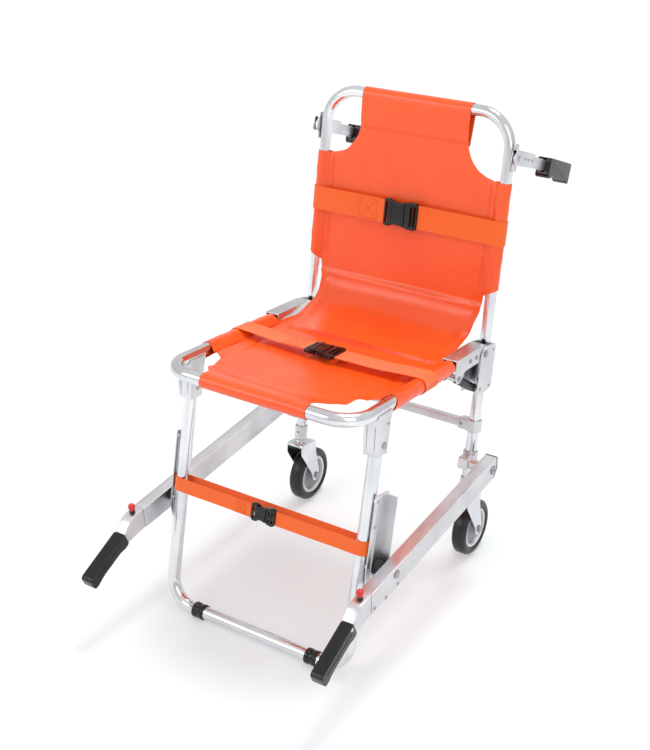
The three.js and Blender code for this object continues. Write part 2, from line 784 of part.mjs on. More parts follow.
// A block saddled under the seat rail, open to the rear and below, that holds the leg's pin.
function legHingeBlock() {
  const inside = LEG.tubeRadius + LEG_BLOCK.play;
  const half = inside + LEG_BLOCK.wall;
  const y = [LEG_HINGE.y - LEG_BLOCK.front, LEG_HINGE.y + LEG_BLOCK.rear];
  const low = LEG_HINGE.z - LEG_BLOCK.low;
  const x = [HALF_TRACK - half, HALF_TRACK + half];
  const outline = [
    [y[0], SEAT.rise],
    [y[0], low + 26],
    [y[0] + 2, low],
    [y[1] - 4, low],
    [y[1] + 3, SEAT.rise - 18],
    [y[1] + 8, SEAT.rise],
  ];
  const throatX = [HALF_TRACK - inside, HALF_TRACK + inside];
  const throat = box(throatX, [y[0] + 3, y[1] + 30], [low - 5, LEG_HINGE.z + LEG_BLOCK.headroom]);
  const saddle = pin("y", SEAT.tubeRadius + FIT_GAP, y[0] - 5, y[1] + 30, [HALF_TRACK, SEAT.rise], 20);
  const block = cut(sidePlate(outline, x, 3), throat, saddle);
  const place = [LEG_HINGE.y, LEG_HINGE.z];
  const legPin = pin("x", PIN_RADIUS, x[0] - 1, x[1] + 1, place);
  const head = pin("x", 6.5, x[1] - 0.5, x[1] + 2, place, 12);
  return join(block, legPin, head);
}

// ---------------------------------------------------------------- brace

function braceCylinder() {
  const { cylinderRadius, boreRadius, cylinder, eye } = BRACE;
  const tube = pin("z", cylinderRadius, 0, cylinder, [HALF_TRACK, 0]);
  const eyeX = [HALF_TRACK - cylinderRadius, HALF_TRACK + cylinderRadius];
  const ring = pin("x", eye + 1, eyeX[0], eyeX[1], [0, 0]);
  const bore = pin("z", boreRadius, eye + 1, cylinder + 5, [HALF_TRACK, 0]);
  const pinHole = pin("x", SMALL_PIN + PIN_PLAY, eyeX[0] - 3, eyeX[1] + 3, [0, 0], 12);
  return cut(join(tube, ring), bore, pinHole);
}

function braceRod() {
  const { rodRadius, rod, eye } = BRACE;
  const eyeX = [HALF_TRACK - 6, HALF_TRACK + 6];
  const ring = pin("x", eye, eyeX[0], eyeX[1], [0, 0]);
  const shaft = pin("z", rodRadius, -rod, 0, [HALF_TRACK, 0], 12);
  const pinHole = pin("x", SMALL_PIN + PIN_PLAY, eyeX[0] - 3, eyeX[1] + 3, [0, 0], 12);
  return cut(join(ring, shaft), pinHole);
}

// ---------------------------------------------------------------- front leg

const legDrop = (legPivot.z - FOOT_RADIUS) / Math.cos(LEG.lean);

function frontLegTube() {
  const corners = [
    new THREE.Vector3(-HALF_TRACK, 0, LEG.topEnd),
    new THREE.Vector3(-HALF_TRACK, 0, -legDrop),
    new THREE.Vector3(HALF_TRACK, 0, -legDrop),
    new THREE.Vector3(HALF_TRACK, 0, LEG.topEnd),
  ];
  const tube = bentTube(corners, LEG.bendRadius, LEG.tubeRadius, LEG.wall);
  const holes = pin("x", PIN_RADIUS + PIN_PLAY, -HALF_TRACK - 20, HALF_TRACK + 20, [0, 0]);
  return cut(tube, holes);
}

// An outward-facing channel beside the leg, in which the rail's roller is held.
function legTrack() {
  const { wall, rollerRadius, high, lip } = TRACK;
  const inner = TRACK_INNER;
  const outer = TRACK_OUTER;
  const low = rollerOnLeg.z - TRACK.belowRoller;
  const middle = rollerOnLeg.y;
  const half = rollerRadius + TRACK.rollerPlay;
  const rear = middle + half + wall;
  const frontFlange = middle - half - wall;
  const webOutline = [
    [-9, high, 3],
    [-9, low + 40, 6],
    [frontFlange, low + 10, 6],
    [middle, low, 10],
    [rear, low + 12, 8],
    [rear, high, 8],
  ];
  const web = sidePlate(webOutline, [inner, inner + wall]);
  const flangeZ = [low + 24, high - 8];
  const front = box([inner + 0.5, inner + lip], [frontFlange, frontFlange + wall], flangeZ);
  const back = box([inner + 0.5, outer], [rear - wall, rear], flangeZ);
  const standoffs = [high - 12, low + 56].map((z) =>
    pin("x", 6, HALF_TRACK + LEG.tubeRadius + FIT_GAP, inner + 1, [0, z], 12),
  );
  return join(web, front, back, ...standoffs);
}

function foot() {
  const bore = LEG.tubeRadius + FIT_GAP;
  const from = HALF_TRACK - FOOT.inset;
  return collar("x", bore, FOOT_RADIUS, from, from + FOOT.length, [0, -legDrop]);
}

// ---------------------------------------------------------------- rails

function rail() {
  const { inner, width, height, wall, rearEnd } = RAIL;
  const half = height / 2;
  const x = [inner, inner + width];
  const outline = [
    [rearEnd, half, 3],
    [rearEnd, -half + 14, 3],
    [rearEnd - 14, -half, 3],
    [railFront, -half, 1],
    [railFront, half, 1],
  ];
  const hollow = box(
    [inner + wall, inner + width - wall],
    [railFront - 5, rearEnd - 18],
    [-half + wall, half - wall],
  );
  const pivotHole = pin("x", RAIL_CLAMP.studRadius + FIT_GAP, inner - 5, x[1] + 5, [0, 0]);
  const rollerPlace = [rollerOnRail.y, rollerOnRail.z];
  const rollerHole = pin("x", ROLLER.pin + PIN_PLAY, inner - 5, x[1] + 5, rollerPlace, 12);
  return cut(sidePlate(outline, x), hollow, pivotHole, rollerHole);
}

function railRoller() {
  const place = [rollerOnRail.y, rollerOnRail.z];
  const outer = RAIL.inner + RAIL.width;
  const wheel = pin("x", TRACK.rollerRadius, ROLLER.inner, ROLLER.outer, place, 24);
  const shaft = pin("x", ROLLER.pin, ROLLER.inner, outer + 1, place, 12);
  const head = pin("x", ROLLER.head, outer + FIT_GAP, outer + 3, place, 12);
  return join(wheel, shaft, head);
}

// Front handle, in its own axes: origin on its hinge pin, the rail's end face at y = 0.
const railMiddle = FRONT_HANDLE.pivotDrop;

function gripPoint(along, across) {
  const { gripFrom, gripAngle, gripDrop } = FRONT_HANDLE;
  const start = { y: -gripFrom, z: railMiddle - gripDrop };
  return [
    start.y - along * Math.cos(gripAngle) - across * Math.sin(gripAngle),
    start.z - along * Math.sin(gripAngle) + across * Math.cos(gripAngle),
  ];
}

function frontHandleBar() {
  const { inner, width, height } = RAIL;
  const { sideInset, barInGrip, core } = FRONT_HANDLE;
  const half = height / 2;
  const face = -FIT_GAP;
  const outline = [
    [face, railMiddle + half, 1],
    [face, railMiddle - half, 4],
    [-16, railMiddle - half, 10],
    [...gripPoint(0, -12.5), 1],
    [...gripPoint(0, 12.5), 1],
    [-34, railMiddle + half - 1, 12],
  ];
  const neck = sidePlate(outline, [inner + sideInset, inner + width - sideInset]);
  const coreOutline = [
    gripPoint(-6, -core),
    gripPoint(barInGrip, -core),
    gripPoint(barInGrip, core),
    gripPoint(-6, core),
  ];
  const middle = inner + width / 2;
  const bar = join(neck, sidePlate(coreOutline, [middle - core, middle + core]));
  const bore = PLUNGER.shank + PIN_PLAY;
  const plungerBore = pin("z", bore, railMiddle - 8, railMiddle + 40, [middle, PLUNGER.y]);
  return cut(bar, plungerBore);
}

function frontGrip() {
  const { gripLength, gripWidth, barInGrip, core } = FRONT_HANDLE;
  const middle = RAIL.inner + RAIL.width / 2;
  const outline = [
    [...gripPoint(3, 12), 3],
    [...gripPoint(3, -13), 3],
    [...gripPoint(12, -15.5), 4],
    [...gripPoint(24, -11), 6],
    [...gripPoint(gripLength - 26, -11), 6],
    [...gripPoint(gripLength - 10, -16), 3],
    [...gripPoint(gripLength - 2.5, -14), 3],
    [...gripPoint(gripLength - 2.5, 11.5), 6],
  ];
  const x = [middle - gripWidth / 2, middle + gripWidth / 2];
  const grip = mouldedSide(outline, x, 3, 2.5);
  const slack = core + FIT_GAP;
  const slotOutline = [
    gripPoint(-10, slack),
    gripPoint(-10, -slack),
    gripPoint(barInGrip + 2, -slack),
    gripPoint(barInGrip + 2, slack),
  ];
  const slot = sidePlate(slotOutline, [middle - slack, middle + slack]);
  return cut(grip, slot);
}

function plunger() {
  const top = railMiddle + RAIL.height / 2;
  const place = [RAIL.inner + RAIL.width / 2, PLUNGER.y];
  const shank = pin("z", PLUNGER.shank, railMiddle - 5, top + PLUNGER.neck, place, 12);
  const skirt = pin("z", PLUNGER.skirt, top + FIT_GAP, top + 6, place, 12);
  const ball = new THREE.SphereGeometry(PLUNGER.ball, 12, 8);
  ball.translate(place[0], place[1], top + PLUNGER.neck + 3);
  return join(shank, skirt, ball);
}

// ---------------------------------------------------------------- fabric

function backFabric() {
  const f = BACK_FABRIC;
  const ringInner = BACK.tubeRadius + FIT_GAP;
  const ringOuter = ringInner + f.sleeve;
  const seam = ringInner + f.sleeve / 2;
  const edge = HALF_TRACK - seam;
  const flapHalf = HALF_TRACK - f.flapInset;
  const sleeveTop = BACK.top - f.sleeveDrop;
  const right = [
    [flapHalf, BACK.top - seam, 2],
    [flapHalf, BACK.top - f.flapDrop - 6, 22],
    [flapHalf + 30, sleeveTop + 8, 12],
    [edge, sleeveTop - 3, 1],
    [edge, f.sleeveLow, 1],
    [HALF_TRACK - f.bottomInset, f.bottom, 3],
  ];
  const left = right.map(([x, z, r]) => [-x, z, r]).reverse();
  const shape = roundedOutline([...right, ...left], 2);
  const options = { depth: f.thickness, bevelEnabled: false, curveSegments: CURVE_STEPS };
  const panel = new THREE.ExtrudeGeometry(shape, options);
  panel.rotateX(Math.PI / 2).translate(0, f.thickness / 2, 0);
  const sleeves = [-HALF_TRACK, HALF_TRACK].map((x) =>
    collar("z", ringInner, ringOuter, f.sleeveLow, sleeveTop, [x, 0]),
  );
  const hem = collar("x", ringInner, ringOuter, -flapHalf, flapHalf, [0, BACK.top]);
  return join(panel, ...sleeves, hem);
}

function seatFabric() {
  const f = SEAT_FABRIC;
  const ringInner = SEAT.tubeRadius + FIT_GAP;
  const ringOuter = ringInner + f.sleeve;
  const seam = ringInner + f.sleeve / 2;
  const edge = HALF_TRACK - seam;
  const frontHalf = HALF_TRACK - f.frontInset;
  const notchHalf = HALF_TRACK - f.notchInset;
  const right = [
    [frontHalf, -SEAT.reach + seam, 2],
    [notchHalf, f.notchFront, 12],
    [notchHalf + 4, f.sleeveFront - 14, 12],
    [edge, f.sleeveFront + 3, 1],
    [edge, f.rear, 1],
  ];
  const left = right.map(([x, y, r]) => [-x, y, r]).reverse();
  const shape = roundedOutline([...right, ...left], 2);
  const options = { depth: f.thickness, bevelEnabled: false, curveSegments: CURVE_STEPS };
  const panel = new THREE.ExtrudeGeometry(shape, options);
  panel.translate(0, 0, SEAT.rise - f.thickness / 2);
  const sleeves = [-HALF_TRACK, HALF_TRACK].map((x) =>
    collar("y", ringInner, ringOuter, f.sleeveFront, f.rear, [x, SEAT.rise]),
  );
  const across = [-SEAT.reach, SEAT.rise];
  const hem = collar("x", ringInner, ringOuter, -frontHalf, frontHalf, across);
  return join(panel, ...sleeves, hem);
}

// The part of the sling between back and seat, which folds as the chair closes.
function slingBend() {
  const { inset, thickness, backHandle, seatHandle, steps } = SLING;
  const upDirection = new THREE.Vector3(0, 0, 1).applyEuler(back.rotation);
  const forward = new THREE.Vector3(0, -1, 0).applyEuler(seat.rotation);
  const start = toChair(back, { y: 0, z: BACK_FABRIC.bottom - FIT_GAP });
  const end = toChair(seat, { y: SEAT_FABRIC.rear + FIT_GAP, z: SEAT.rise });
  const curve = new THREE.CubicBezierCurve(
    new THREE.Vector2(start.y, start.z),
    new THREE.Vector2(
      start.y - backHandle * upDirection.y,
      start.z - backHandle * upDirection.z,
    ),
    new THREE.Vector2(end.y - seatHandle * forward.y, end.z - seatHandle * forward.z),
    new THREE.Vector2(end.y, end.z),
  );
  const sheet = band(curve.getPoints(steps), thickness, 2 * (HALF_TRACK - inset));
  return sheet.applyMatrix4(TO_SIDE);
}

// ---------------------------------------------------------------- straps and buckles

// A strap round both side tubes, drawn in X and Y with its front run at -Y, open at the buckle.
function strapLoop(strap, innerRadius) {
  const { dip } = strap;
  const radius = innerRadius + STRAP_THICKNESS / 2;
  const line = [];
  const arc = (centre, from, to) => {
    const steps = 8;
    for (let i = 0; i <= steps; i++) {
      const angle = from + ((to - from) * i) / steps;
      const point = new THREE.Vector2(radius * Math.cos(angle), radius * Math.sin(angle));
      line.push(point.add(new THREE.Vector2(centre, 0)));
    }
  };
  const run = (x) => new THREE.Vector2(x, -radius + dip);
  const slope = (side) =>
    new THREE.Vector2(side * (HALF_TRACK - DIP.shoulder), -radius + dip * DIP.rise);
  line.push(run(strap.from - FIT_GAP));
  if (dip) line.push(run(strap.from - DIP.ease), run(DIP.low - HALF_TRACK), slope(-1));
  arc(-HALF_TRACK, -Math.PI / 2, -1.5 * Math.PI);
  arc(HALF_TRACK, Math.PI / 2, -Math.PI / 2);
  if (dip) line.push(slope(1), run(HALF_TRACK - DIP.low), run(strap.to + DIP.ease));
  line.push(run(strap.to + FIT_GAP));
  return band(line, STRAP_THICKNESS, strap.width);
}

// The two halves of a side-release buckle in the line of a strap, in the strap's own axes.
function buckle(strap, middle) {
  const half = strap.width / 2;
  const wall = 2.4;
  const y = [middle - strap.depth / 2, middle + strap.depth / 2];
  const pocketY = [y[0] + wall, y[1] - wall];
  const reach = 20;
  const shell = box([strap.from, strap.joint], y, [-half - 1, half + 1]);
  const pocket = box([strap.joint - reach - 3, strap.joint + 2], pocketY, [-half + 2, half - 2]);
  const windowX = [strap.joint - reach, strap.joint - 8];
  const windows = box(windowX, pocketY, [-half - 5, half + 5]);
  const socket = cut(shell, pocket, windows);
  const tongueY = [pocketY[0] + FIT_GAP, pocketY[1] - FIT_GAP];
  const start = strap.joint + FIT_GAP;
  const body = box([start, strap.to], [y[0] + 0.8, y[1] - 0.8], [-half, half]);
  const guide = box([start - 14, start + 2], tongueY, [-half * 0.2, half * 0.2]);
  const arms = [-1, 1].map((side) => {
    const z = [half - 9, half - 2 - FIT_GAP].map((value) => side * value).sort((a, b) => a - b);
    return box([start - reach + 1, start + 2], tongueY, z);
  });
  const plug = join(body, guide, ...arms);
  return { socket, plug };
}

function addStrap(group, name, innerRadius, place) {
  const strap = STRAPS[name];
  const { socket, plug } = buckle(strap, strap.dip - innerRadius - STRAP_THICKNESS / 2);
  add(group, name + "_strap", place(strapLoop(strap, innerRadius)), ORANGE_WEBBING);
  add(group, name + "_buckle_socket", place(socket), BLACK_PLASTIC);
  add(group, name + "_buckle_plug", place(plug), BLACK_PLASTIC);
}

// ---------------------------------------------------------------- assembly

add(back, "back_frame_tube", backFrameTube(), POLISHED_ALUMINIUM);
add(back, "rear_crossbar", crossbar(), SATIN_ALUMINIUM);
addPair(back, "crossbar_clamp", crossbarClamp(), SATIN_ALUMINIUM);
addPair(back, "seat_hinge_bracket", hingeBracket(), SATIN_ALUMINIUM);
addPair(back, "rail_bracket", railBracket(), SATIN_ALUMINIUM);
addPair(back, "release_knob", releaseKnob(), BLACK_PLASTIC);
addPair(back, "caster_socket", casterSocket(), SATIN_ALUMINIUM);
addPair(back, "caster_fork", casterFork(), CHROME);
addPair(back, "caster_tyre", casterTyre(), BLACK_RUBBER);
addPair(back, "caster_hub", casterHub(), GREY_HUB);
add(back, "back_fabric", backFabric(), ORANGE_FABRIC);

addPair(rearHandles, "rear_handle_bracket", rearHandleBracket(), SATIN_ALUMINIUM);
addPair(rearHandles, "rear_handle_bar", rearHandleBar(), SATIN_ALUMINIUM);
addPair(rearHandles, "rear_grip", rearGrip(), BLACK_RUBBER);

add(seat, "seat_frame_tube", seatFrameTube(), POLISHED_ALUMINIUM);
addPair(seat, "seat_end_channel", seatEndChannel(), SATIN_ALUMINIUM);
addPair(seat, "leg_hinge_block", legHingeBlock(), SATIN_ALUMINIUM);
add(seat, "seat_fabric", seatFabric(), ORANGE_FABRIC);
add(chair, "sling_bend", slingBend(), ORANGE_FABRIC);

addPair(braceCylinders, "brace_cylinder", braceCylinder(), BLACK_PLASTIC);
addPair(braceRods, "brace_rod", braceRod(), CHROME);

add(frontLeg, "front_leg_tube", frontLegTube(), POLISHED_ALUMINIUM);
addPair(frontLeg, "leg_track", legTrack(), SATIN_ALUMINIUM);
addPair(frontLeg, "foot", foot(), BLACK_RUBBER);

addPair(rails, "lower_rail", rail(), SATIN_ALUMINIUM);
addPair(rails, "rail_roller", railRoller(), BLACK_PLASTIC);
addPair(frontHandles, "front_handle_bar", frontHandleBar(), SATIN_ALUMINIUM);
addPair(frontHandles, "front_grip", frontGrip(), BLACK_RUBBER);
addPair(frontHandles, "plunger", plunger(), RED_PLASTIC);

const backSleeve = BACK.tubeRadius + BACK_FABRIC.sleeve + 2 * FIT_GAP;
const seatSleeve = SEAT.tubeRadius + SEAT_FABRIC.sleeve + 2 * FIT_GAP;
addStrap(back, "chest", backSleeve, (g) => g.translate(0, 0, STRAPS.chest.middle));
addStrap(seat, "lap", seatSleeve, (g) =>
  g.rotateX(-Math.PI / 2).translate(0, STRAPS.lap.middle, SEAT.rise),
);
addStrap(frontLeg, "leg", LEG.tubeRadius + FIT_GAP, (g) =>
  g.translate(0, 0, STRAPS.leg.middle),
);

export default chair;
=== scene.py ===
"""Folding evacuation chair: tubes, sling, straps, casters and carrying handles, built round the CAD frame."""
import json
import random
from math import acos, atan, atan2, copysign, cos, exp, pi, radians, sin, tan

import bmesh
import bpy
from mathutils import Matrix, Vector

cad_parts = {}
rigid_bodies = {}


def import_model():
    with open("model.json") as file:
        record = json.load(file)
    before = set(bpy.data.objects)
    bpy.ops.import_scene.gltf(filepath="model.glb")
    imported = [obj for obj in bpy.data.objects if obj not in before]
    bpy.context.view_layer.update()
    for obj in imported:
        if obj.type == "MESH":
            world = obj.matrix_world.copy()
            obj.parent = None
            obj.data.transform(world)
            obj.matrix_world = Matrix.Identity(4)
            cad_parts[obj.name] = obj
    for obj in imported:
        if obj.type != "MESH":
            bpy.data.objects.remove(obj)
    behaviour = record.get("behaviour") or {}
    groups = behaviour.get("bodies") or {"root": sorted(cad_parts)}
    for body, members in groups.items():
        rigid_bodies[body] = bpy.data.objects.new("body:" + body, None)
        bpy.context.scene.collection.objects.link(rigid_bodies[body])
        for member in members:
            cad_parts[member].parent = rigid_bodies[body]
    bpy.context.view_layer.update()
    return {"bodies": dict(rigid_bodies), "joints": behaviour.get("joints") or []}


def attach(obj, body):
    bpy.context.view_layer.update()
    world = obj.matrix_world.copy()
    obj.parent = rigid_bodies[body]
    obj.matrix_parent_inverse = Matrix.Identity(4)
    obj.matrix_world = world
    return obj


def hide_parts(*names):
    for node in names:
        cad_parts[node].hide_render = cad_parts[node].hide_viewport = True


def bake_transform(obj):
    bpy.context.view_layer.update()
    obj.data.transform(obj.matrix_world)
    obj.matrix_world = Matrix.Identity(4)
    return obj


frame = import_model()
MM = 0.001
scene = bpy.context.scene
scene.view_settings.view_transform = "Standard"
collection = scene.collection
JOINTS = {joint["name"]: joint for joint in frame["joints"]}


# ---- frames of reference, lengths in millimetres

RECLINE, SEAT_TILT, LEG_LEAN, RAIL_TILT = (atan(slope) for slope in (0.16, 0.094, 0.223, 0.079))
REAR_DROP = radians(20)
HALF = 200  # middle of the chair to the middle of a side tube
HINGE_Y, HINGE_Z = -31, 464  # the seat hinge in the back frame's axes


def side_frame(origin, angle):
    """A frame in the side plane: X stays, Y and Z turn about X."""
    return Matrix.Translation(Vector(origin)) @ Matrix.Rotation(angle, 4, "X") @ Matrix.Scale(MM, 4)


def joint_point(name):
    """A joint's place in the side plane, in metres."""
    place = JOINTS[name]["pos_m"]
    return (0, place[1], place[2])


back_turn = Matrix.Rotation(-RECLINE, 3, "X")
BACK = side_frame(Vector(joint_point("seat_fold")) - back_turn @ Vector((0, HINGE_Y, HINGE_Z)) * MM, -RECLINE)
SEAT = side_frame(joint_point("seat_fold"), -SEAT_TILT)
LEG = side_frame(joint_point("front_leg_fold"), -LEG_LEAN)
RAIL = side_frame(joint_point("rail_fold_right"), RAIL_TILT)
FRONT_HANDLE = side_frame(joint_point("front_handle_fold_right"), RAIL_TILT)
REAR_HANDLE = side_frame(joint_point("rear_handle_fold_right"), -REAR_DROP)
foot_point, head_point = (Vector(joint_point(f"brace_{end}_right")) for end in ("foot", "head"))
brace_turn = atan2(-(head_point - foot_point).y, (head_point - foot_point).z)
BRACE_LOW = side_frame(foot_point, brace_turn)
BRACE_HIGH = side_frame(head_point, brace_turn)


# ---- materials

def srgb(r, g, b):
    """A colour given from 0 to 255, as the shader takes it."""
    def channel(v):
        v /= 255
        return v / 12.92 if v <= 0.04045 else ((v + 0.055) / 1.055) ** 2.4
    return (channel(r), channel(g), channel(b), 1)


class Material:
    """A principled material whose colour, roughness and bump come from nodes."""

    def __init__(self, name, metallic=0.0, **sockets):
        self.material = bpy.data.materials.new(name)
        self.material.use_nodes = True
        self.tree = self.material.node_tree
        self.shader = self.tree.nodes["Principled BSDF"]
        self.shader.inputs["Metallic"].default_value = metallic
        for socket, value in sockets.items():
            self.shader.inputs[socket.replace("_", " ")].default_value = value
        self.place = self.node("ShaderNodeTexCoord").outputs["Object"]
        self.height = None

    def node(self, kind, **values):
        made = self.tree.nodes.new(kind)
        for key, value in values.items():
            if key in made.inputs:
                made.inputs[key].default_value = value
            else:
                setattr(made, key, value)
        return made

    def link(self, source, target):
        self.tree.links.new(source, target)

    def noise(self, scale, detail=3.0, roughness=0.55, stretch=None):
        made = self.node("ShaderNodeTexNoise", Scale=scale, Detail=detail, Roughness=roughness)
        place = self.place
        if stretch:
            mapping = self.node("ShaderNodeMapping", Scale=stretch)
            self.link(place, mapping.inputs["Vector"])
            place = mapping.outputs["Vector"]
        self.link(place, made.inputs["Vector"])
        return made.outputs["Fac"]

    def wave(self, scale, direction, distortion=0.0):
        made = self.node("ShaderNodeTexWave", Scale=scale, Distortion=distortion, bands_direction=direction)
        self.link(self.place, made.inputs["Vector"])
        return made.outputs["Fac"]

    def ramp(self, value, low, high, start=0.3, end=0.7):
        made = self.node("ShaderNodeMapRange")
        for key, number in zip(("From Min", "From Max", "To Min", "To Max"), (start, end, low, high)):
            made.inputs[key].default_value = number
        self.link(value, made.inputs["Value"])
        return made.outputs["Result"]

    def colour(self, value, low, high, start=0.35, end=0.65):
        made = self.node("ShaderNodeMix", data_type="RGBA")
        made.inputs[6].default_value = low
        made.inputs[7].default_value = high
        self.link(self.ramp(value, 0, 1, start, end), made.inputs["Factor"])
        self.link(made.outputs[2], self.shader.inputs["Base Color"])
        return made

    def roughness(self, value, low, high):
        self.link(self.ramp(value, low, high), self.shader.inputs["Roughness"])

    def bump(self, value, distance, strength=1.0):
        made = self.node("ShaderNodeBump", Strength=strength, Distance=distance)
        self.link(value, made.inputs["Height"])
        if self.height:
            self.link(self.height, made.inputs["Normal"])
        self.height = made.outputs["Normal"]
        self.link(self.height, self.shader.inputs["Normal"])


def metal(name, low, high, rough_low, rough_high, grain, stretch=None):
    made = Material(name, metallic=1.0)
    made.colour(made.noise(9, 4), srgb(*low), srgb(*high))
    made.roughness(made.noise(grain * 0.3, 4, stretch=stretch), rough_low, rough_high)
    made.bump(made.noise(grain, 2, stretch=stretch), 0.00003, 0.35)
    return made.material


def plastic(name, low, high, rough_low, rough_high, grain, depth, **sockets):
    made = Material(name, **sockets)
    made.colour(made.noise(35, 5), srgb(*low), srgb(*high))
    made.roughness(made.noise(60, 3), rough_low, rough_high)
    made.bump(made.noise(grain, 2, 0.7), depth, 0.6)
    return made.material


def coated_cloth(name, low, high, rough_low, rough_high):
    """PVC-coated cloth: a faint weave under a soft glossy film, with slow waves and fine creases."""
    made = Material(name, Coat_Weight=0.2, Coat_Roughness=0.22, Specular_IOR_Level=0.5)
    made.colour(made.noise(6, 5), srgb(*low), srgb(*high), 0.3, 0.7)
    made.roughness(made.noise(22, 4), rough_low, rough_high)
    made.bump(made.noise(14, 2, 0.4), 0.0016, 0.5)
    made.bump(made.noise(55, 3, 0.5), 0.0003, 0.45)
    for direction in ("X", "Z"):
        made.bump(made.wave(420, direction, 0.3), 0.00003, 0.25)
    return made.material


def webbing(name, low, high):
    """Woven strap: ribs across it, with painted shade in their grooves, a twill running along it, and fibres."""
    made = Material(name, Sheen_Weight=0.25, Sheen_Roughness=0.5, Specular_IOR_Level=0.3)
    ribs_and_groove_shade = made.wave(160, "X", 0.4)
    # the ribs set the colour too: darker in their grooves and lighter on their tops, which is painted shade in the
    # grooves
    made.colour(ribs_and_groove_shade, srgb(*low), srgb(*high), 0.1, 0.9)
    made.roughness(made.noise(90, 3), 0.55, 0.75)
    made.bump(ribs_and_groove_shade, 0.00025, 0.5)
    for direction in ("Y", "Z"):
        made.bump(made.wave(300, direction, 0.6), 0.00012, 0.4)
    made.bump(made.noise(900, 2), 0.00004, 0.3)
    return made.material


POLISHED = metal("polished_aluminium", (214, 215, 218), (236, 237, 239), 0.10, 0.20, 700)
SATIN = metal("satin_aluminium", (203, 202, 205), (226, 225, 228), 0.30, 0.42, 900, (1, 0.05, 1))
CHROME = metal("zinc_plate", (208, 210, 214), (232, 234, 238), 0.12, 0.24, 500)
STEEL = metal("fastener_steel", (150, 151, 155), (186, 187, 190), 0.22, 0.36, 800)
BLACK = plastic("black_plastic", (15, 15, 17), (27, 27, 29), 0.32, 0.48, 900, 0.00006)
RUBBER = plastic("black_rubber", (4, 4, 5), (11, 11, 12), 0.18, 0.3, 500, 0.00005)
GLOSS_BLACK = plastic("gloss_black_plastic", (3, 3, 4), (9, 9, 10), 0.14, 0.24, 500, 0.00003)
TYRE = plastic("tyre_rubber", (13, 13, 16), (24, 24, 28), 0.26, 0.4, 400, 0.00008)
HUB = plastic("hub_plastic", (128, 130, 134), (150, 152, 156), 0.35, 0.5, 700, 0.00005)
RIM = plastic("rim_plastic", (206, 207, 210), (226, 227, 230), 0.3, 0.45, 700, 0.00005)
RED = plastic("red_plastic", (196, 16, 24), (214, 26, 32), 0.18, 0.3, 400, 0.00003, Coat_Weight=0.3)
FABRIC = coated_cloth("orange_fabric", (240, 78, 16), (248, 92, 28), 0.26, 0.38)
LINING = coated_cloth("red_lining", (176, 12, 10), (196, 20, 14), 0.38, 0.5)
WEBBING = webbing("orange_webbing", (234, 86, 22), (250, 116, 44))
THREAD = plastic("orange_thread", (205, 62, 14), (232, 84, 26), 0.5, 0.7, 1500, 0.0001)


# ---- mesh tools, lengths in millimetres

def made_object(verts, faces):
    mesh = bpy.data.meshes.new("piece")
    mesh.from_pydata([tuple(v) for v in verts], [], faces)
    work = bmesh.new()
    work.from_mesh(mesh)
    bmesh.ops.recalc_face_normals(work, faces=work.faces)
    work.to_mesh(mesh)
    work.free()
    made = bpy.data.objects.new("piece", mesh)
    collection.objects.link(made)
    return made


def bake(piece):
    """Applies the piece's modifiers."""
    bpy.context.view_layer.update()
    mesh = bpy.data.meshes.new_from_object(piece.evaluated_get(bpy.context.evaluated_depsgraph_get()))
    piece.modifiers.clear()
    old = piece.data
    piece.data = mesh
    bpy.data.meshes.remove(old)
    return piece


def modify(piece, kind, **values):
    modifier = piece.modifiers.new("step", kind)
    for key, value in values.items():
        setattr(modifier, key, value)
    return bake(piece)


def combine(operation, body, tools):
    for tool in tools:
        modifier = body.modifiers.new("step", "BOOLEAN")
        modifier.operation = operation
        modifier.object = tool
        modifier.solver = "MANIFOLD"
    bake(body)
    for tool in tools:
        bpy.data.objects.remove(tool)
    return body


def join(body, *tools):
    return combine("UNION", body, tools)


def cut(body, *tools):
    return combine("DIFFERENCE", body, tools)


def rounded(piece, width, segments=3, angle=32):
    return modify(piece, "BEVEL", width=width, segments=segments, limit_method="ANGLE",
                  angle_limit=radians(angle), use_clamp_overlap=True)


def outline(corners, radius, steps):
    """A closed outline whose corners are rounded; a corner is (a, b) or (a, b, its own radius)."""
    points = []
    for i, corner in enumerate(corners):
        here = Vector(corner[:2])
        size = corner[2] if len(corner) > 2 else radius
        if size <= 0:
            points.append(here)
            continue
        before = Vector(corners[i - 1][:2]) - here
        after = Vector(corners[(i + 1) % len(corners)][:2]) - here
        enter, leave = here + before.normalized() * size, here + after.normalized() * size
        for k in range(steps + 1):
            t = k / steps
            points.append(enter * (1 - t) ** 2 + here * 2 * t * (1 - t) + leave * t * t)
    return points


def prism(points, low, high, place):
    """A prism over a closed outline; place turns (a, b, h) into a point."""
    n = len(points)
    verts = [place(p[0], p[1], h) for h in (low, high) for p in points]
    faces = [(i, (i + 1) % n, n + (i + 1) % n, n + i) for i in range(n)]
    return made_object(verts, faces + [tuple(range(n)), tuple(range(2 * n - 1, n - 1, -1))])


def plate(corners, x, radius=0, steps=6):
    """A plate drawn in Y and Z that spans X."""
    return prism(outline(corners, radius, steps), x[0], x[1], lambda a, b, h: (h, a, b))


def flat_plate(corners, y, radius=0, steps=5):
    """A plate drawn in X and Z that spans Y."""
    return prism(outline(corners, radius, steps), y[0], y[1], lambda a, b, h: (a, h, b))


def box(x, y, z):
    return plate([(y[0], z[0]), (y[1], z[0]), (y[1], z[1]), (y[0], z[1])], x)


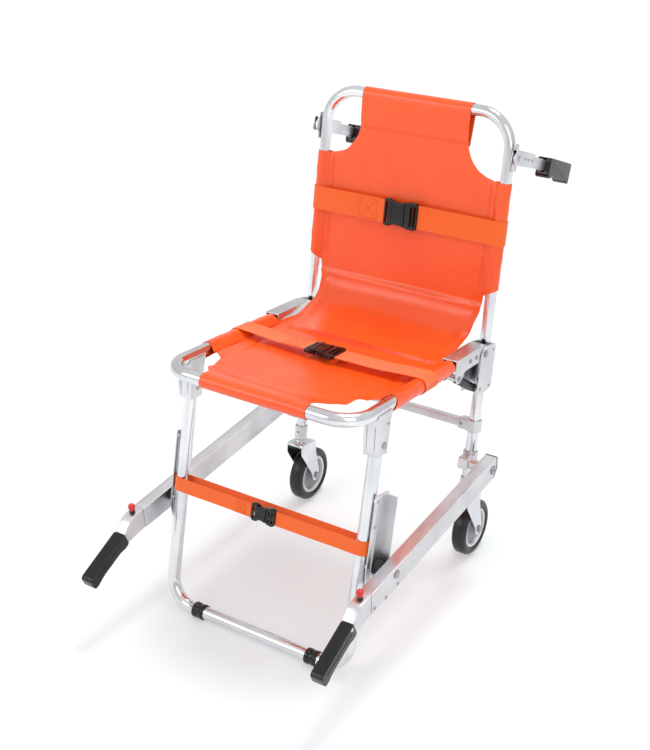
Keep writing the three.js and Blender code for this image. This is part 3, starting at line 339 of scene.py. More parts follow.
def lathe(axis, profile, across, sides=40):
    """A closed profile of (radius, place along the axis) turned about X, Y or Z."""
    order = {"x": lambda u, v, h: (h, across[0] + u, across[1] + v),
             "y": lambda u, v, h: (across[0] + u, h, across[1] + v),
             "z": lambda u, v, h: (across[0] + u, across[1] + v, h)}[axis]
    verts, rings = [], []
    for radius, along in profile:
        if radius < 1e-6:
            rings.append([len(verts)] * sides)
            verts.append(order(0, 0, along))
            continue
        rings.append(list(range(len(verts), len(verts) + sides)))
        for k in range(sides):
            angle = 2 * pi * k / sides
            verts.append(order(radius * cos(angle), radius * sin(angle), along))
    faces = []
    for i, ring in enumerate(rings):
        following = rings[(i + 1) % len(rings)]
        for k in range(sides):
            corners = [ring[k], ring[(k + 1) % sides], following[(k + 1) % sides], following[k]]
            unique = list(dict.fromkeys(corners))
            if len(unique) > 2:
                faces.append(tuple(unique))
    return made_object(verts, faces)


def pin(axis, radius, low, high, across, sides=32):
    return lathe(axis, [(0, low), (radius, low), (radius, high), (0, high)], across, sides)


def turned(axis, steps, across, sides=32):
    """A solid of revolution from its outer profile, closed on the axis at both ends."""
    return lathe(axis, [(0, steps[0][1])] + list(steps) + [(0, steps[-1][1])], across, sides)


def dome(axis, radius, height, base, across, sides=20):
    """A rivet head that stands on a face at base; height has the sign of the way out."""
    steps = [(radius * cos(radians(a)), base + height * sin(radians(a)))
             for a in (0, 25, 50, 72)]
    return turned(axis, [(radius, base - 0.4 * copysign(1, height))] + steps, across, sides)


def collar(axis, inner, outer, low, high, across, edge=0.6, sides=40):
    return lathe(axis, [(inner, low), (outer - edge, low), (outer, low + edge), (outer, high - edge),
                        (outer - edge, high), (inner, high)], across, sides)


def bent_path(corners, radius, steps=14, spacing=40):
    """Points and tangents along a line of straights joined by arcs."""
    stations = [(Vector(corners[0]), (Vector(corners[1]) - Vector(corners[0])).normalized())]
    for before, corner, after in zip(corners, corners[1:], corners[2:]):
        corner = Vector(corner)
        into = (corner - Vector(before)).normalized()
        out = (Vector(after) - corner).normalized()
        turn = into.angle(out)
        side = (out - into * cos(turn)).normalized()
        start = corner - into * radius * tan(turn / 2)
        previous = stations[-1][0]
        count = int((start - previous).length / spacing)
        for k in range(1, count + 1):
            stations.append((previous.lerp(start, k / (count + 1)), into))
        for k in range(steps + 1):
            t = turn * k / steps
            place = start + into * radius * sin(t) + side * radius * (1 - cos(t))
            stations.append((place, into * cos(t) + side * sin(t)))
    end, previous = Vector(corners[-1]), stations[-1][0]
    count = int((end - previous).length / spacing)
    for k in range(1, count + 2):
        stations.append((previous.lerp(end, k / (count + 1)), (end - previous).normalized()))
    return stations


def bent_tube(corners, bend, radius, wall, sides=36):
    """A hollow round tube with softened ends, bent in one plane."""
    stations = bent_path(corners, bend)
    first, second, third = (Vector(corner) for corner in corners[:3])
    normal = (second - first).cross(third - second).normalized()
    soft = 0.4
    rings = [(i, radius - (soft if i in (0, len(stations) - 1) else 0)) for i in range(len(stations))]
    rings += [(i, radius - wall) for i in reversed(range(len(stations)))]
    verts = []
    for i, size in rings:
        place, tangent = stations[i]
        across = normal.cross(tangent)
        for k in range(sides):
            angle = 2 * pi * k / sides
            verts.append(place + (normal * cos(angle) + across * sin(angle)) * size)
    n = len(rings)
    faces = [(i * sides + k, i * sides + (k + 1) % sides, (i + 1) % n * sides + (k + 1) % sides,
              (i + 1) % n * sides + k) for i in range(n) for k in range(sides)]
    return made_object(verts, faces)


def mirrored(piece):
    twin = piece.copy()
    twin.data = piece.data.copy()
    collection.objects.link(twin)
    twin.data.transform(Matrix.Scale(-1, 4, (1, 0, 0)))
    twin.data.flip_normals()
    return twin


def place_piece(piece, name, where, body, material, nodes=(), smooth=34):
    """Puts a finished mesh in its frame, names it, paints it and lets it ride on its body."""
    piece.name = name
    piece.data.name = name
    if where is not None:
        piece.data.transform(where)
    piece.data.materials.clear()
    materials = material if isinstance(material, list) else [material]
    for one in materials:
        piece.data.materials.append(one)
    piece.data.polygons.foreach_set("use_smooth", [True] * len(piece.data.polygons))
    piece.data.set_sharp_from_angle(angle=radians(smooth))
    if body:
        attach(piece, body)
    if nodes:
        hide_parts(*nodes)
    return piece


def pair(piece, name, where, body, material, nodes=(), smooth=34):
    """A right-hand piece and its mirror image; body and node names take the side's suffix."""
    made = {"left": mirrored(piece), "right": piece}
    for side, solid in made.items():
        ride_on = body if body in frame["bodies"] else f"{body}_{side}"
        place_piece(solid, f"{name}_{side}", where, ride_on, material, [f"{node}_{side}" for node in nodes],
                    smooth)
    return made


def satin(piece, name, where, body, nodes, smooth=34):
    """A pair of satin aluminium parts."""
    return pair(piece, name, where, body, SATIN, nodes, smooth)


def steel(piece, name, where, body):
    """A pair of fasteners."""
    return pair(piece, name, where, body, STEEL)


def about(half):
    """The span from one face to the other of a part centred on the right side tube."""
    return HALF - half, HALF + half


def drill(radius, half, place=(0, 0)):
    """A bolt, or the cutter for its hole, through a part centred on the right side tube."""
    return pin("x", radius, *about(half), place)


def bolt_head(radius, top_radius, base, height, crown, place, sides=32):
    """A bolt's head on the outer face at base: a rim of the given height under a crown."""
    top = base + height
    return turned("x", [(radius, base), (radius, top), (top_radius, top + crown)], place, sides)


def symmetric(half_outline):
    """An outline from the half of it that lies above the first axis; a corner may carry its own radius."""
    return [(a, -b, *radius) for a, b, *radius in half_outline] + half_outline[::-1]


# ---- tubes

BACK_TOP, BACK_R, SEAT_R, SEAT_REACH, SEAT_RISE = 911.5, 11, 12.5, 454, 3
WHEEL_R, WHEEL_Y = 59, 46  # the wheel's radius, and how far it trails behind its swivel
CROWN_GAP, CROWN_HEIGHT, CROWN_TO_TUBE = 22, 7, 12
WHEEL_Z = (WHEEL_R + WHEEL_Y * sin(RECLINE)) / cos(RECLINE)
CROWN_LOW = WHEEL_Z + WHEEL_R + CROWN_GAP
CROWN_TOP = CROWN_LOW + CROWN_HEIGHT
BACK_LOW = CROWN_TOP + CROWN_TO_TUBE
LEG_CLEARANCE, LEG_TOP = 15, 14  # from the floor to the middle of the leg's foot; from its pivot to its end
LEG_DROP = (joint_point("front_leg_fold")[2] / MM - LEG_CLEARANCE) / cos(LEG_LEAN)
PIVOT_HOLE, PIN_HOLE = 4.3, 3.3

upright = lambda x, z: Vector((x, 0, z))
level = lambda x, y: Vector((x, y, SEAT_RISE))
for name, where, body, node, end, turn, bend, radius, wall, spot in (
        ("back_tube", BACK, "back_frame", "back_frame_tube", BACK_LOW, BACK_TOP, 66, BACK_R, 1.5, upright),
        ("seat_tube", SEAT, "seat", "seat_frame_tube", -20, -SEAT_REACH, 55, SEAT_R, 1.6, level),
        ("leg_tube", LEG, "front_leg", "front_leg_tube", LEG_TOP, -LEG_DROP, 53, 12.5, 1.6, upright)):
    tube = bent_tube([spot(-HALF, end), spot(-HALF, turn), spot(HALF, turn), spot(HALF, end)], bend, radius, wall)
    if name == "leg_tube":
        cut(tube, pin("x", PIVOT_HOLE, -HALF - 20, HALF + 20, (0, 0)))
    place_piece(tube, name, where, body, POLISHED, [node], 40)


# ---- back frame fittings

CHANNEL_HALF, KNOB_Z, LOCK_BOLT = 18.4, 412, (-36, 393)


def hinge_channel():
    wall, rear, low, high, front = 2.8, 14.5, 380, 480, -45
    shape = [(rear, low + 8, 6), (rear, high - 4, 8), (HINGE_Y, high, 8), (HINGE_Y - 15, high - 14, 8),
             (HINGE_Y - 15, high - 40, 12), (front, 405, 4), (front, low + 2, 6), (-10, low, 6)]
    body = rounded(plate(shape, about(CHANNEL_HALF)), 1.6, 3, 60)
    cut(body, box(about(CHANNEL_HALF - wall), (front - 20, BACK_R + 0.4), (low - 5, high + 5)),
        pin("y", 2.9, 5, rear + 5, (HALF, KNOB_Z)))
    return rounded(body, 0.4, 2, 50)


def hinge_bolts():
    inner, face, hinge = HALF - CHANNEL_HALF - 0.6, HALF + CHANNEL_HALF, (HINGE_Y, HINGE_Z)
    return join(pin("x", 4, inner, face + 1, hinge), bolt_head(7, 5.6, face, 2.2, 0.8, hinge),
                pin("x", 3, inner, face + 0.5, LOCK_BOLT), dome("x", 4.6, 1.9, face, LOCK_BOLT))


def knob():
    """A fluted knob."""
    face, length, radius, flutes = 14.9, 15, 6.5, 12
    end, ring = face + length, radius + 0.35
    head = turned("y", [(radius - 1.2, face), (radius, face + 1), (radius, end - 1.6), (radius - 1.6, end)],
                  (HALF, KNOB_Z), 48)
    return cut(head, *[pin("y", 0.9, face + 3, end + 2, (HALF + ring * cos(a), KNOB_Z + ring * sin(a)), 12)
                       for a in (2 * pi * k / flutes for k in range(flutes))])


channel, bolts = hinge_channel(), hinge_bolts()
rivets = [dome("x", 3.4, 1.5, HALF + CHANNEL_HALF, (3, z)) for z in (466, 392)]
satin(channel, "hinge_channel", BACK, "back_frame", ["seat_hinge_bracket"], 30)
steel(bolts, "hinge_bolts", BACK, "back_frame")
for i, rivet in enumerate(rivets):
    steel(rivet, f"hinge_rivet_{i + 1}", BACK, "back_frame")
pair(knob(), "knob", BACK, "release", BLACK, ["release_knob"])
steel(pin("y", 2.6, 12, 14.9, (HALF, KNOB_Z)), "knob_shank", BACK, "release")

RAIL_HINGE, CLAMP_R, CLAMP_HALF, SOCKET_HALF = (-24.4, 233), 15, 17, 13
RAIL_IN, RAIL_OUT, RAIL_H = 238, 263, 42


def tube_hole(middle, half):
    """The cutter that lets a back tube through a fitting."""
    return pin("z", BACK_R + 0.4, middle - half - 5, middle + half + 5, (HALF, 0))


def rail_clamp():
    z = RAIL_HINGE[1]
    low, high = z - CLAMP_HALF, z + CLAMP_HALF
    ear = plate([(0, low + 4), (0, high - 4), (-16, high - 4), (-38, z + 12), (-38, z - 12), (-16, low + 4)],
                (HALF - 8, 214), 3)
    body = join(collar("z", 4, CLAMP_R, low, high, (HALF, 0), 1.2), rounded(ear, 1.5, 3),
                turned("x", [(10, 213), (10, RAIL_IN - 1.4), (9, RAIL_IN - 0.4)], RAIL_HINGE))
    return cut(body, tube_hole(z, CLAMP_HALF), box(about(1), (9, 20), (low - 5, high + 5)))


def clamp_screw(z):
    """A cap screw across the split of the clamp."""
    return turned("x", [(2.2, HALF - 6), (2.2, HALF + 4), (3.8, HALF + 4), (3.8, HALF + 6.6), (3.2, HALF + 7)],
                  (13, z), 20)


satin(rail_clamp(), "rail_clamp", BACK, "back_frame", ["rail_bracket"], 32)
for i, offset in enumerate((-10, 10)):
    steel(clamp_screw(RAIL_HINGE[1] + offset), f"rail_clamp_screw_{i + 1}", BACK, "back_frame")
stud = join(pin("x", 6, 214.5, RAIL_OUT + 2, RAIL_HINGE),
            bolt_head(9, 7.4, RAIL_OUT + 0.4, 2, 1.5, RAIL_HINGE))
cut(stud, turned("x", [(3.2, RAIL_OUT + 2.6), (3.2, RAIL_OUT + 6)], RAIL_HINGE, 6))
steel(stud, "rail_stud", BACK, "back_frame")

CROSS_Z, CROSS, CROSS_WALL = 303.8, 8, 2


def square_bar(x, half):
    """A square bar on the crossbar's line."""
    return box(x, (-half, half), (CROSS_Z - half, CROSS_Z + half))


def crossbar_socket():
    reach = HALF - CLAMP_R - 16
    body = join(collar("z", 4, CLAMP_R, CROSS_Z - SOCKET_HALF, CROSS_Z + SOCKET_HALF, (HALF, 0), 1.4),
                rounded(square_bar((reach, HALF), CROSS + 3), 2, 3))
    return cut(body, tube_hole(CROSS_Z, SOCKET_HALF), square_bar((reach - 2, HALF - BACK_R - 2), CROSS + 0.4))


crossbar = cut(rounded(square_bar((-186, 186), CROSS), 2, 4), square_bar((-190, 190), CROSS - CROSS_WALL))
place_piece(crossbar, "crossbar", BACK, "back_frame", SATIN, ["rear_crossbar"])
satin(crossbar_socket(), "crossbar_socket", BACK, "back_frame", ["crossbar_clamp"])
steel(dome("y", 3.2, -1.6, -11, (176, CROSS_Z)), "crossbar_rivet", BACK, "back_frame")

CUP_LOW, CUP_TOP = BACK_LOW - 5, 194
cup = lathe("z", [(6.3, CUP_LOW), (12.4, CUP_LOW), (13.4, CUP_LOW + 1.2), (13.4, CUP_TOP - 0.8), (12.8, CUP_TOP),
                  (11.4, CUP_TOP), (11.4, BACK_LOW - 0.4), (6.3, BACK_LOW - 0.4)], (HALF, 0))
satin(cup, "caster_cup", BACK, "back_frame", ["caster_socket"])
steel(dome("y", 3, -1.5, -13.2, (HALF, 180)), "cup_rivet", BACK, "back_frame")


# ---- casters

WHEEL_AT = (WHEEL_Y, WHEEL_Z)
CHEEK_IN, CHEEK_OUT, NUT_OUT = 18, 20.5, 25.5
HUB_NOSE = 17.6


def caster_fork():
    cheek = [(-21, CROWN_TOP, 8), (-21, CROWN_LOW - 16, 8), (WHEEL_Y - 14, WHEEL_Z + 4, 10),
             (WHEEL_Y - 8, WHEEL_Z - 13, 6), (WHEEL_Y + 7, WHEEL_Z - 12, 6), (WHEEL_Y + 12, WHEEL_Z + 8, 8),
             (36, CROWN_LOW - 18, 10), (34, CROWN_TOP, 8)]
    body = rounded(plate(cheek, about(CHEEK_OUT)), 2.2, 4, 60)
    cut(body, box(about(CHEEK_IN), (-40, 80), (0, CROWN_LOW)))
    top = CROWN_TOP
    race = turned("z", [(13.5, top - 1), (13.5, top + 1.6), (12, top + 2.2), (12, top + 3.4), (13, top + 4),
                        (13, CUP_LOW - 0.4)], (HALF, 0), 40)
    return join(body, race, pin("z", 6, top, top + 42, (HALF, 0)), drill(5, CHEEK_OUT + 1, WHEEL_AT))


def axle_nuts():
    return join(*[rounded(turned("x", [(7.6, low), (7.6, low + NUT_OUT - CHEEK_OUT)], WHEEL_AT, 6), 0.7, 2)
                  for low in (HALF - NUT_OUT, HALF + CHEEK_OUT)])


def wheel(profile, sides=72):
    return lathe("x", [(r, HALF + h) for r, h in profile], WHEEL_AT, sides)


def tyre_profile():
    half, shoulder = 15.5, 8.5
    points = [(42.4, -half + 3), (44.5, -half + 0.8), (46.5, -half)]
    for step in range(13):
        angle = radians(-90 + step * 15)
        points.append((WHEEL_R - shoulder + shoulder * cos(angle) - (0.6 if abs(step - 6) > 2 else 0),
                       (half - shoulder) * copysign(1, sin(angle)) * (step != 6)
                       + shoulder * sin(angle)))
    return points + [(46.5, half), (44.5, half - 0.8), (42.4, half - 3)]


def both_sides(profile):
    """A profile of (radius, place) from the outer left face, completed by its mirror image."""
    return profile + [(r, -h) for r, h in reversed(profile)]


rim_ring = both_sides([(35, -8), (36, -12), (37.5, -13), (41, -13.4), (42, -12.6)])
hub_disc = both_sides([(5.3, -HUB_NOSE), (10, -HUB_NOSE), (11, -HUB_NOSE + 1), (12.5, -10), (15, -8.4), (22, -7.6),
                       (24, -8.4), (31, -8.6), (34.6, -7.6)])
pair(caster_fork(), "fork", BACK, "caster", CHROME, ["caster_fork"], 36)
steel(axle_nuts(), "axle_nuts", BACK, "caster")
pair(wheel(tyre_profile()), "tyre", BACK, "wheel", TYRE, ["caster_tyre"])
pair(wheel(rim_ring), "wheel_rim", BACK, "wheel", RIM)
pair(wheel(hub_disc), "wheel_hub", BACK, "wheel", HUB, ["caster_hub"])


# ---- rear handles, along the bar in Y

BAR_IN, BAR_W, BAR_H, BAR_END = 213.7, 6, 26, 226
GRIP_FROM, GRIP_TO = 134, 244
SLACK = 0.4  # play between parts that fit over each other


def rear_bracket():
    half, wall, length = BAR_H / 2, 1.8, 72
    x, top = (BAR_IN - SLACK - wall, BAR_IN + BAR_W + SLACK + wall), half + SLACK + wall
    shape = [(-17, -half, 6), (length, -half + 4, 4), (length, top, 4), (-17, top, 6)]
    body = rounded(plate(shape, x), 1.1, 3, 60)
    cut(body, box((x[0] + wall, x[1] - wall), (-30, length + 20), (-half - 10, half + SLACK)))
    against_tube = rounded(plate(symmetric([(-10, 26), (10, 26)]), (x[0], x[0] + wall), 4), 0.5, 2, 50)
    against_tube.data.transform(Matrix.Rotation(REAR_DROP - RECLINE, 4, "X"))
    return join(body, against_tube, pin("x", 4, x[0], x[1] + 1, (0, 0)),
                bolt_head(7, 6.2, x[1] - 0.5, 3.5, 0.5, (0, 0), 6)), x[1]


def rear_bar():
    half, x = BAR_H / 2, (BAR_IN, BAR_IN + BAR_W)
    blade = plate(symmetric([(0, half, 0), (BAR_END - 40, half - 4, 4)]), x)
    body = join(blade, pin("x", half, *x, (0, 0), 48))
    return rounded(cut(body, pin("x", PIVOT_HOLE, x[0] - 5, x[1] + 5, (0, 0))), 0.9, 3, 60)


def rear_grip():
    middle, half, slack = BAR_IN + BAR_W / 2, 14, BAR_H / 2 + SLACK
    shape = [(GRIP_FROM, 16, 4), (GRIP_FROM, -19, 4), (GRIP_FROM + 8, -24, 4), (GRIP_FROM + 20, -17.6, 7),
             (GRIP_TO - 22, -17.6, 8), (GRIP_TO - 8, -26, 5), (GRIP_TO, -24, 4), (GRIP_TO, 15, 6)]
    body = rounded(plate(shape, (middle - half, middle + half), 3, 8), 4.5, 5, 55)
    grooves = [box((middle - half - 2, middle + half + 2), (y, y + 1.6), (-19.5, -16.6))
               for y in range(GRIP_FROM + 34, GRIP_TO - 34, 7)]
    return cut(body, box((BAR_IN - SLACK, BAR_IN + BAR_W + SLACK), (GRIP_FROM - 5, BAR_END - 40 + SLACK),
                         (-slack, slack)), *grooves)


bracket, face = rear_bracket()
satin(bracket, "handle_bracket", REAR_HANDLE, "back_frame", ["rear_handle_bracket"], 30)
for i, y in enumerate((27, 44, 61)):
    steel(dome("x", 3, 1.5, face, (y, 2)), f"handle_rivet_{i + 1}", REAR_HANDLE, "back_frame")
satin(rear_bar(), "handle_bar_rear", REAR_HANDLE, "rear_handle", ["rear_handle_bar"])
pair(rear_grip(), "grip_rear", REAR_HANDLE, "rear_handle", RUBBER, ["rear_grip"], 40)


# ---- seat fittings

LEG_PIN = (-372.7, -58.1)
BRACE_BOLT = (-100, -22)
BLOCK_HALF = 15


def end_channel():
    """The pressed channel over the rear end of the seat's side tube."""
    inside, wall, front = 12.9, 2.1, -116
    top = SEAT_RISE + BLOCK_HALF
    shape = [(front, top, 2), (0, top, 10), (top - 1, top - 6, 8), (top - 1, -10, 8), (4, -16, 6), (-20, -13, 4),
             (-78, -13, 8), (-92, -31, 5), (-108, -31, 5), (front, -13, 3)]
    body = rounded(plate(shape, about(BLOCK_HALF)), 2, 4, 60)
    return cut(body, box(about(inside), (front - 5, 40), (-42, top - wall)), drill(PIVOT_HOLE, BLOCK_HALF + 2))


def leg_block():
    """The housing under the seat rail: a front block with slits over a narrower throat for the leg."""
    front, rear, low = LEG_PIN[0] - 22, LEG_PIN[0] + 16, LEG_PIN[1] - 18
    shape = [(front, SEAT_RISE), (front, low + 26), (front + 2, low), (rear - 4, low), (rear + 3, SEAT_RISE - 18),
             (rear + 8, SEAT_RISE)]
    body = rounded(plate(shape, about(BLOCK_HALF), 3), 1.4, 3, 50)
    slits = [box((HALF + s - 1.1, HALF + s + 1.1), (front - 5, front + 2.2), (low + 8, SEAT_RISE - 22))
             for s in (-8, 8)]
    return cut(body, box(about(13), (front + 3, rear + 30), (low - 5, LEG_PIN[1] + 21)),
               pin("y", SEAT_R + SLACK, front - 5, rear + 40, (HALF, SEAT_RISE), 48), *slits)


satin(end_channel(), "seat_channel", SEAT, "seat", ["seat_end_channel"], 30)
bolt = join(pin("x", 3, HALF - 15, HALF + 15.5, BRACE_BOLT),
            bolt_head(5.5, 4.4, HALF + 14.6, 2.4, 1, BRACE_BOLT, 24))
steel(bolt, "brace_bolt", SEAT, "seat")
for i, y in enumerate((-32, -58)):
    steel(bolt_head(4.4, 3.6, HALF + 14.7, 1.7, 0.7, (y, 1), 6), f"channel_bolt_{i + 1}", SEAT, "seat")
satin(leg_block(), "leg_block", SEAT, "seat", ["leg_hinge_block"], 30)
bolt = join(drill(4, 16, LEG_PIN), bolt_head(6.5, 5.4, HALF + 14.5, 1.7, 0.8, LEG_PIN, 28))
steel(bolt, "leg_bolt", SEAT, "seat")
for name, radius, height, face, y, z in (("block_rivet", 3, 1.5, HALF + BLOCK_HALF, 10, 38),
                                         ("block_rivet_inner", 3.6, -1.7, HALF - BLOCK_HALF, -4, 34)):
    steel(dome("x", radius, height, face, (LEG_PIN[0] + y, LEG_PIN[1] + z)), name, SEAT, "seat")


# ---- braces

SHEATH, ROD = 86, 94  # lengths from each end's pivot


def brace_sheath():
    """A ribbed cylinder with an eye and a cap at its foot."""
    ribs_and_groove_shade = [(8.5 - (0.5 if k % 2 else 0), 20 + 4 * k) for k in range(1, 10)]
    brace = lathe("z", [(6.6, 8), (7.6, 8), (8.5, 9)] + ribs_and_groove_shade +
                  [(8.5, SHEATH - 8), (7.8, SHEATH - 6), (7.8, SHEATH), (6.6, SHEATH)], (HALF, 0))
    eye = turned("x", [(7, HALF - 8.5), (8, HALF - 7.6), (8, HALF + 7.6), (7, HALF + 8.5)], (0, 0), 40)
    join(brace, turned("z", [(8, 5), (8, 9.5)], (HALF, 0), 40))
    join(brace, cut(eye, drill(PIN_HOLE, 12)))
    return cut(brace, drill(PIN_HOLE, 12))


pair(brace_sheath(), "brace_sheath", BRACE_LOW, "brace_lower", BLACK, ["brace_cylinder"])
rod = join(turned("x", [(6.4, HALF - 6), (7, HALF - 5.4), (7, HALF + 5.4), (6.4, HALF + 6)], (0, 0), 36),
           pin("z", 3, -ROD, 0, (HALF, 0)))
pair(cut(rod, drill(PIN_HOLE, 12)), "brace_shaft", BRACE_HIGH, "brace_upper", CHROME, ["brace_rod"])


# ---- front leg fittings

TRACK_IN, TRACK_OUT, TRACK_WALL = 216.2, 236.5, 2.2
roller_at = Vector(joint_point("front_leg_fold")) + Vector(joint_point("rail_fold_right")) \
    - Vector(joint_point("seat_fold"))
roller_leg = LEG.inverted() @ roller_at
roller_rail = RAIL.inverted() @ roller_at


def leg_track():
    """The channel beside the leg that the rail's roller runs in."""
    wall, half, high, low, middle = TRACK_WALL, 15.2, -90, roller_leg.z - 51.3, roller_leg.y
    rear, front = middle + half + wall, middle - half - wall
    web = plate([(-9, high, 3), (-9, low + 40, 6), (front, low + 10, 6), (middle, low, 10), (rear, low + 12, 8),
                 (rear, high, 8)], (TRACK_IN, TRACK_IN + wall))
    flanges = [plate([(y, low + 24), (y + wall, low + 24), (y + wall, high - 8), (y, high - 8)],
                     (TRACK_IN + 0.5, reach)) for y, reach in ((rear - wall, TRACK_OUT), (front, TRACK_IN + 4.5))]
    body = rounded(join(web, *flanges), 0.5, 2, 40)
    return join(body, *[pin("x", 6, HALF + 12.9, TRACK_IN + 1, (0, z)) for z in (high - 12, low + 56)])


satin(leg_track(), "track", LEG, "front_leg", ["leg_track"], 30)
for i, z in enumerate((-102, -150, -232)):
    steel(dome("x", 3.4, 1.5, TRACK_IN + TRACK_WALL, (-1, z)), f"track_rivet_{i + 1}", LEG, "front_leg")

FOOT_FROM = HALF - 83.5
foot = lathe("x", [(r, FOOT_FROM + along) for r, along in
                   ((12.9, 0), (14.2, 0), (15, 1.2), (15, 7), (14.4, 8), (14.4, 17), (15, 18), (15, 23.8), (14.2, 25),
                    (12.9, 25))], (0, -LEG_DROP), 56)
pair(foot, "foot_clip", LEG, "front_leg", RUBBER, ["foot"])


# ---- rails and front handles

RAIL_REAR, RAIL_FRONT, RAIL_WALL = 20, roller_rail.y - 83.86, 2
RAIL_SPAN, RAIL_HALF, RAIL_CENTRE = (RAIL_IN, RAIL_OUT), RAIL_H / 2, (RAIL_IN + RAIL_OUT) / 2
ROLLER_AT = (roller_rail.y, roller_rail.z)


def rail_solid(edge, segments):
    """The rail's outer shape, slanted at the lower rear corner."""
    shape = [(RAIL_REAR, RAIL_HALF, 3), (RAIL_REAR, -RAIL_HALF + 14, 3), (RAIL_REAR - 14, -RAIL_HALF, 3),
             (RAIL_FRONT, -RAIL_HALF, 1), (RAIL_FRONT, RAIL_HALF, 1)]
    return rounded(plate(shape, RAIL_SPAN), edge, segments, 50)


def rail():
    wall, holes = RAIL_WALL, (RAIL_IN - 5, RAIL_OUT + 5)
    bore = box((RAIL_IN + wall, RAIL_OUT - wall), (RAIL_FRONT - 5, RAIL_REAR - 18),
               (wall - RAIL_HALF, RAIL_HALF - wall))
    line = box((RAIL_OUT - 3.4, RAIL_OUT - 2.6), (RAIL_FRONT + 2, RAIL_REAR - 8), (RAIL_HALF - 0.5, RAIL_HALF + 2))
    return cut(rail_solid(1.8, 4), bore, pin("x", 6.4, *holes, (0, 0)), pin("x", 4.8, *holes, ROLLER_AT), line)


def rail_end(grow=0):
    """The region at the rail's rear end that its black cap fills."""
    low, rear = -RAIL_HALF, RAIL_REAR - grow
    return plate([(rear - 5, -low + 5), (rear - 5, low + 16.4), (rear - 23.5, low - 5), (rear + 30, low - 5),
                  (rear + 30, -low + 5)], (RAIL_IN - 5, RAIL_OUT + 5))


end_cap = combine("INTERSECT", rail_solid(1.4, 3), [rail_end()])
pair(end_cap, "rail_cap", RAIL, "rail", BLACK)
satin(cut(rail(), rail_end(0.3)), "rail", RAIL, "rail", ["lower_rail"], 30)
for i, spot in enumerate(((-373.5, -16.5), (-415.3, -17.5), (RAIL_FRONT + 8, -14))):
    steel(dome("x", 3.8, 1.8, RAIL_OUT, spot), f"rail_rivet_{i + 1}", RAIL, "rail")
roller = turned("x", [(13.3, 219.6), (14.5, 220.8), (14.5, 225), (13.6, 226), (13.6, 228), (14.5, 229), (14.5, 233.3),
                      (13.3, 234.5)], ROLLER_AT, 56)
pair(roller, "roller", RAIL, "rail", BLACK, ["rail_roller"])
bolt = join(pin("x", 4.5, 234.5, RAIL_OUT + 1, ROLLER_AT),
            bolt_head(8, 6.4, RAIL_OUT + 0.4, 1.4, 1.1, ROLLER_AT))
steel(bolt, "roller_bolt", RAIL, "rail")

RAIL_MIDDLE = RAIL_HALF + 0.5  # the rail's middle above the handle's pivot
GRIP_ANGLE, GRIP_LENGTH, GRIP_HALF, GRIP_START = radians(20), 110, 12, (-54, RAIL_MIDDLE - 12.5)
CORE, CORE_END = 8, 60  # half the square core inside the grip, and where it ends
PLUNGER = (RAIL_IN + 12.5, -18)


def grip_point(along, across, *radius):
    """A point of the front handle, from the start of its grip, along and across it."""
    y, z = GRIP_START
    return (y - along * cos(GRIP_ANGLE) - across * sin(GRIP_ANGLE),
            z - along * sin(GRIP_ANGLE) + across * cos(GRIP_ANGLE)) + radius


def grip_box(start, end, low, high, half, *radius):
    """A block along the grip, of a half-width about the rail's middle."""
    corners = [grip_point(a, b, *radius) for a, b in ((start, high), (start, low), (end, low), (end, high))]
    return plate(corners, (RAIL_CENTRE - half, RAIL_CENTRE + half))


def front_bar():
    low, high = RAIL_MIDDLE - RAIL_HALF, RAIL_MIDDLE + RAIL_HALF
    shape = [(-0.4, high, 1), (-0.4, low, 4), (-16, low, 10), grip_point(0, -12.5, 1), grip_point(0, 12.5, 1),
             (-34, high - 1, 12)]
    body = rounded(plate(shape, (RAIL_IN + 1.2, RAIL_OUT - 1.2), 0, 8), 2.4, 4, 50)
    join(body, grip_box(-6, CORE_END, -CORE, CORE, CORE))
    return cut(body, pin("z", 3.5, RAIL_MIDDLE - 8, RAIL_MIDDLE + 40, (RAIL_CENTRE, PLUNGER[1])))


def front_grip():
    """A hand grip with a lip at each end, a ridge down its sides and finger grooves underneath."""
    length = GRIP_LENGTH
    shape = [grip_point(*corner) for corner in (
        (0.6, 13, 4), (0.6, -13.4, 4), (11, -16, 5), (24, -11.4, 8), (length - 27, -11.4, 9),
        (length - 10, -16.4, 6), (length, -13.6, 5), (length, 11.6, 9))]
    body = rounded(plate(shape, (RAIL_CENTRE - GRIP_HALF, RAIL_CENTRE + GRIP_HALF), 3, 8), 5.5, 6, 55)
    join(body, rounded(grip_box(12, length - 14, -0.6, 1.6, GRIP_HALF + 0.7, 1), 0.6, 2))
    slack = CORE + SLACK
    grooves = [grip_box(a, a + 1.6, -15, -10.5, 2 * GRIP_HALF) for a in range(32, length - 32, 7)]
    return cut(body, grip_box(-10, CORE_END + 2, -slack, slack, slack), *grooves)


satin(front_bar(), "handle_bar_front", FRONT_HANDLE, "front_handle", ["front_handle_bar"], 36)
pair(front_grip(), "grip_front", FRONT_HANDLE, "front_handle", RUBBER, ["front_grip"], 40)
screw_y, screw_z = grip_point(8, 8)
screw = cut(dome("x", 3.6, 1.5, RAIL_OUT - 0.5, (screw_y, screw_z), 24),
            box((RAIL_OUT + 0.2, RAIL_OUT + 4), (screw_y - 3, screw_y + 3), (screw_z - 0.5, screw_z + 0.5)))
pair(screw, "grip_screw", FRONT_HANDLE, "front_handle", CHROME)
seat_z, ball_r = RAIL_MIDDLE + RAIL_HALF, 7
ball = turned("z", [(5.4, seat_z + 6.2), (ball_r * 0.94, seat_z + 9.4)] +
              [(ball_r * cos(radians(a)), seat_z + 12.8 + ball_r * sin(radians(a)))
               for a in range(-15, 90, 15)], PLUNGER, 40)
pair(ball, "plunger_ball", FRONT_HANDLE, "plunger_knob", RED, ["plunger"])
ring = turned("z", [(radius, seat_z + height) for radius, height in
                    ((5.5, 0.5), (5.5, 3.6), (4.6, 4.4), (4.6, 6.2))], PLUNGER, 36)
